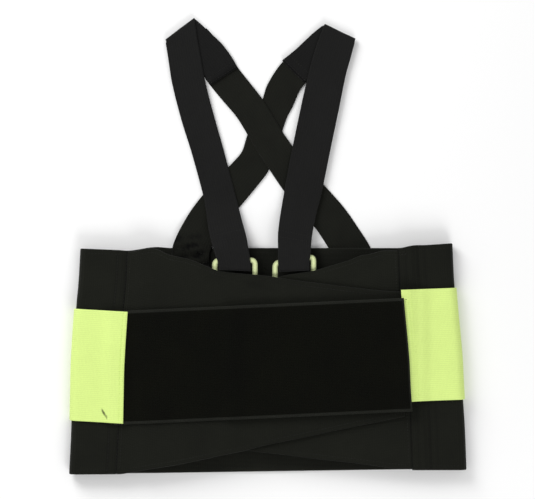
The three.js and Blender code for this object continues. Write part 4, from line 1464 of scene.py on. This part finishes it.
class BELT_OT_back_panel(PieceOperator, bpy.types.Operator):
    """Make the elastic wall behind the back"""

    bl_idname = "belt.back_panel"
    bl_label = "Back Panel"

    def execute(self, context):
        top = PANEL_WALL + BEAD_RISE
        paths = []
        for edge, sign in ((top_edge, -1), (bottom_edge, 1)):
            xs = stations(back_seam(LEFT, 0.5) + 4, back_seam(RIGHT, 0.5) - 4)
            xy = [(x, edge(x) + sign * HEM_LINE) for x in xs]
            paths.append([(x, y, lift_at(x, y) + top) for x, y in xy])
        add_sheet("BackPanel", None, back_panel_wall(), ["InnerElastic"],
                  paths)
        return {"FINISHED"}


class BELT_OT_side_panels(PieceOperator, bpy.types.Operator):
    """Make the elastic walls round the side folds, with their stay channels"""

    bl_idname = "belt.side_panels"
    bl_label = "Side Panels"

    def make(self, side):
        first = STAY_SET_BACK[side.name]
        paths = []
        for away in (first, first + STAY_WIDTH[side.name]):
            downs = [i / 60 for i in range(1, 60)]
            xs = [front_seam(side, down) + side.sign * away for down in downs]
            xy = [(x, height_at(x, down)) for x, down in zip(xs, downs)]
            paths.append(on_top("side", PANEL_WALL, xy, -HEM_LINE_SINK))
        for edge, sign, down in ((top_edge, -1, 0), (bottom_edge, 1, 1)):
            start = front_seam(side, down) + 2 * side.sign
            end = side.sign * (fold_reach(side, down) - 9)
            xy = [(x, edge(x) + sign * HEM_LINE) for x in stations(start, end)]
            paths.append(on_top("side", PANEL_WALL, xy))
        add_sheet("SidePanel", side, side_panel_wall(side), ["OuterElastic"],
                  paths)


class BELT_OT_front_flaps(PieceOperator, bpy.types.Operator):
    """Make the tapered front walls, with stitched hems"""

    bl_idname = "belt.front_flaps"
    bl_label = "Front Flaps"

    def make(self, side):
        level = f"flap_{side.name}"
        start = side.sign * (HALF_WIDTH - 62)
        end = -side.sign * (FLAP_REACH[side.name] - 3)
        paths = []
        for edge, sign in (("top", -1), ("bottom", 1)):
            xy = [(x, flap_edge(side, x, edge) + sign * HEM_LINE) for x in stations(start, end)]
            paths.append(on_top(level, PANEL_WALL, xy))
        downs = [i / 60 for i in range(2, 59)]
        xs = [front_seam(side, down) - side.sign * 3.0 for down in downs]
        xy = [(x, lerp(*flap_edges(side, x), down)) for x, down in zip(xs, downs)]
        paths.append(on_top(level, PANEL_WALL, xy))
        add_sheet("FrontFlap", side, flap_wall(side), ["OuterElastic"],
                  paths)


class BELT_OT_side_pulls(PieceOperator, bpy.types.Operator):
    """Make the lime bands round the side folds"""

    bl_idname = "belt.side_pulls"
    bl_label = "Side Pulls"

    def make(self, side):
        drop = BAND_DROP[side.name]
        inset, lift = (0, 0.2) if side is LEFT else (TAB_LAP - 4, 0.02)
        paths = []
        for away in (1.6, 4.6):
            xy = []
            for y in stations(-drop - 2, -drop - BAND_HEIGHT + 4):
                x = band_end(side, y) + side.sign * (away + inset)
                xy.append((x, y + band_top(side, x) + drop))
            paths.append(on_top(f"band_{side.name}", BAND_WALL, xy, lift))
        add_sheet("SidePull", side, band_wall(side), ["LimeElastic"],
                  paths, "LimeThread")


class BELT_OT_closure_tabs(PieceOperator, bpy.types.Operator):
    """Make the pile tabs that close the belt"""

    bl_idname = "belt.closure_tabs"
    bl_label = "Closure Tabs"

    def make(self, side):
        shape = UPPER_TAB if side is LEFT else UNDER_TAB
        start, end = tab_ends(shape)
        inset = TAB_BORDER / 2
        paths = []
        for row, sign in ((0, -1), (1, 1)):
            xs = stations(start(0.5) + 3, end(0.5) - 3)
            xy = [(x, tab_edges(shape, x)[row] + sign * inset) for x in xs]
            paths.append(on_top(shape.level, TAB_WALL, xy))
        if shape is UPPER_TAB:
            shares = [i / 40 for i in range(1, 40)]
            xs = [end(share) - inset for share in shares]
            xy = [(x, lerp(*tab_edges(shape, x), share)) for x, share in zip(xs, shares)]
            paths.append(on_top(shape.level, TAB_WALL, xy))
        add_sheet("ClosureTab", side, tab_wall(shape), ["LoopPile", "HemTape"],
                  paths, fabric_of=tab_fabric)


class BELT_OT_back_suspenders(PieceOperator, bpy.types.Operator):
    """Make the back straps, which cross and are sewn to the belt"""

    bl_idname = "belt.back_suspenders"
    bl_label = "Back Suspenders"

    def make(self, side):
        rows = ((0.93, 0.02),) if side is LEFT else ((0.03, 0.5), (0.07, 0.5))
        paths = [line_path(*back_strap_line(side, up), BACK_INSET, lift) for up, lift in rows]
        wall = back_strap_wall(side)
        add_sheet("SuspenderBack", side, wall, ["BackWebbing"],
                  paths, pitch=STRAP_PITCH, flat=wall.strap_size())


class BELT_OT_front_suspenders(PieceOperator, bpy.types.Operator):
    """Make the front straps, folded at the shoulder and round their loops"""

    bl_idname = "belt.front_suspenders"
    bl_label = "Front Suspenders"

    def make(self, side):
        strap = FrontStrap(side)
        wall = strap.wall()
        add_sheet("SuspenderFront", side, wall, ["SuspenderWebbing"],
                  strap.stitch_paths(), pitch=STRAP_PITCH, flat=wall.strap_size())


class BELT_OT_strap_loops(PieceOperator, bpy.types.Operator):
    """Make the lime elastic loops that hold the front straps"""

    bl_idname = "belt.strap_loops"
    bl_label = "Strap Loops"

    def make(self, side):
        piece = loop_wall(side).build(f"StrapLoop{side.name.title()}", ["LoopElastic"])
        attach(piece, "root")
        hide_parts(f"strap_loop_{side.name}")


class BELT_OT_stage(bpy.types.Operator):
    """Make the pale floor, the soft lights and the camera above the belt"""

    bl_idname = "belt.stage"
    bl_label = "Stage"
    bl_options = {"REGISTER", "UNDO"}

    def execute(self, context):
        scene = context.scene
        mesh = bpy.data.meshes.new("Floor")
        corners = [(-1, -1), (1, -1), (1, 1), (-1, 1)]
        places = [(x * FLOOR_REACH, y * FLOOR_REACH, FLOOR_LEVEL) for x, y in corners]
        mesh.from_pydata(places, [], [(0, 1, 2, 3)])
        floor = link_object("Floor", mesh)
        paint = bpy.data.materials.new("FloorPaint")
        paint.use_nodes = True
        shader = paint.node_tree.nodes["Principled BSDF"]
        shader.inputs["Base Color"].default_value = FLOOR_COLOUR
        shader.inputs["Roughness"].default_value = 0.9
        shader.inputs["Specular IOR Level"].default_value = 0.1
        mesh.materials.append(paint)
        floor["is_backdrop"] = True

        world = bpy.data.worlds.new("Studio")
        world.use_nodes = True
        sky = world.node_tree.nodes["Background"]
        sky.inputs["Color"].default_value = (1, 1, 1, 1)
        sky.inputs["Strength"].default_value = SKY_STRENGTH
        scene.world = world
        for name, place, size, power in LIGHTS:
            light = bpy.data.lights.new(name, "AREA")
            light.size = size
            light.energy = power
            lamp = link_object(name, light)
            lamp.location = place
            lamp.rotation_euler = (-lamp.location).to_track_quat("-Z", "Y").to_euler()

        sizes = scene.belt_sizes
        camera_data = bpy.data.cameras.new("Camera")
        camera_data.lens = sizes.camera_lens
        camera_data.sensor_width = SENSOR_WIDTH
        camera_data.clip_end = 50
        away = sizes.seen_width * camera_data.lens / camera_data.sensor_width
        camera = link_object("Camera", camera_data)
        camera.location = (-0.0003, (TOP_EDGE_Y - 1.5) * MM, away + FOCUS_LEVEL)
        scene.camera = camera
        scene.view_settings.view_transform = "Standard"
        scene.view_settings.look = "None"
        return {"FINISHED"}


PIECES = (
    BELT_OT_back_panel,
    BELT_OT_side_panels,
    BELT_OT_front_flaps,
    BELT_OT_side_pulls,
    BELT_OT_closure_tabs,
    BELT_OT_back_suspenders,
    BELT_OT_front_suspenders,
    BELT_OT_strap_loops,
    BELT_OT_stage,
)


class BELT_PT_panel(bpy.types.Panel):
    """Sidebar list of the belt's pieces and sizes"""

    bl_idname = "BELT_PT_panel"
    bl_label = "Lumbar Lifting Belt"
    bl_space_type = "VIEW_3D"
    bl_region_type = "UI"
    bl_category = "Belt"

    def draw(self, context):
        scene = context.scene
        for group in (scene.belt_sizes, scene.belt_colours):
            for name in type(group).__annotations__:
                self.layout.prop(group, name)
        for piece in PIECES:
            self.layout.operator(piece.bl_idname)


CLASSES = (BeltSizes, BeltColours, *PIECES, BELT_PT_panel)


def register():
    for cls in CLASSES:
        bpy.utils.register_class(cls)
    bpy.types.Scene.belt_sizes = PointerProperty(type=BeltSizes)
    bpy.types.Scene.belt_colours = PointerProperty(type=BeltColours)


def unregister():
    del bpy.types.Scene.belt_colours
    del bpy.types.Scene.belt_sizes
    for cls in reversed(CLASSES):
        bpy.utils.unregister_class(cls)


def main():
    register()
    bpy.ops.belt.back_panel()
    bpy.ops.belt.side_panels()
    bpy.ops.belt.front_flaps()
    bpy.ops.belt.side_pulls()
    bpy.ops.belt.closure_tabs()
    bpy.ops.belt.back_suspenders()
    bpy.ops.belt.front_suspenders()
    bpy.ops.belt.strap_loops()
    bpy.ops.belt.stage()
    boxes = {"cad": CAD_BOX, "visual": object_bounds()}
    {key: [list(corner) for corner in box] for key, box in boxes.items()}


if __name__ == "__main__":
    main()
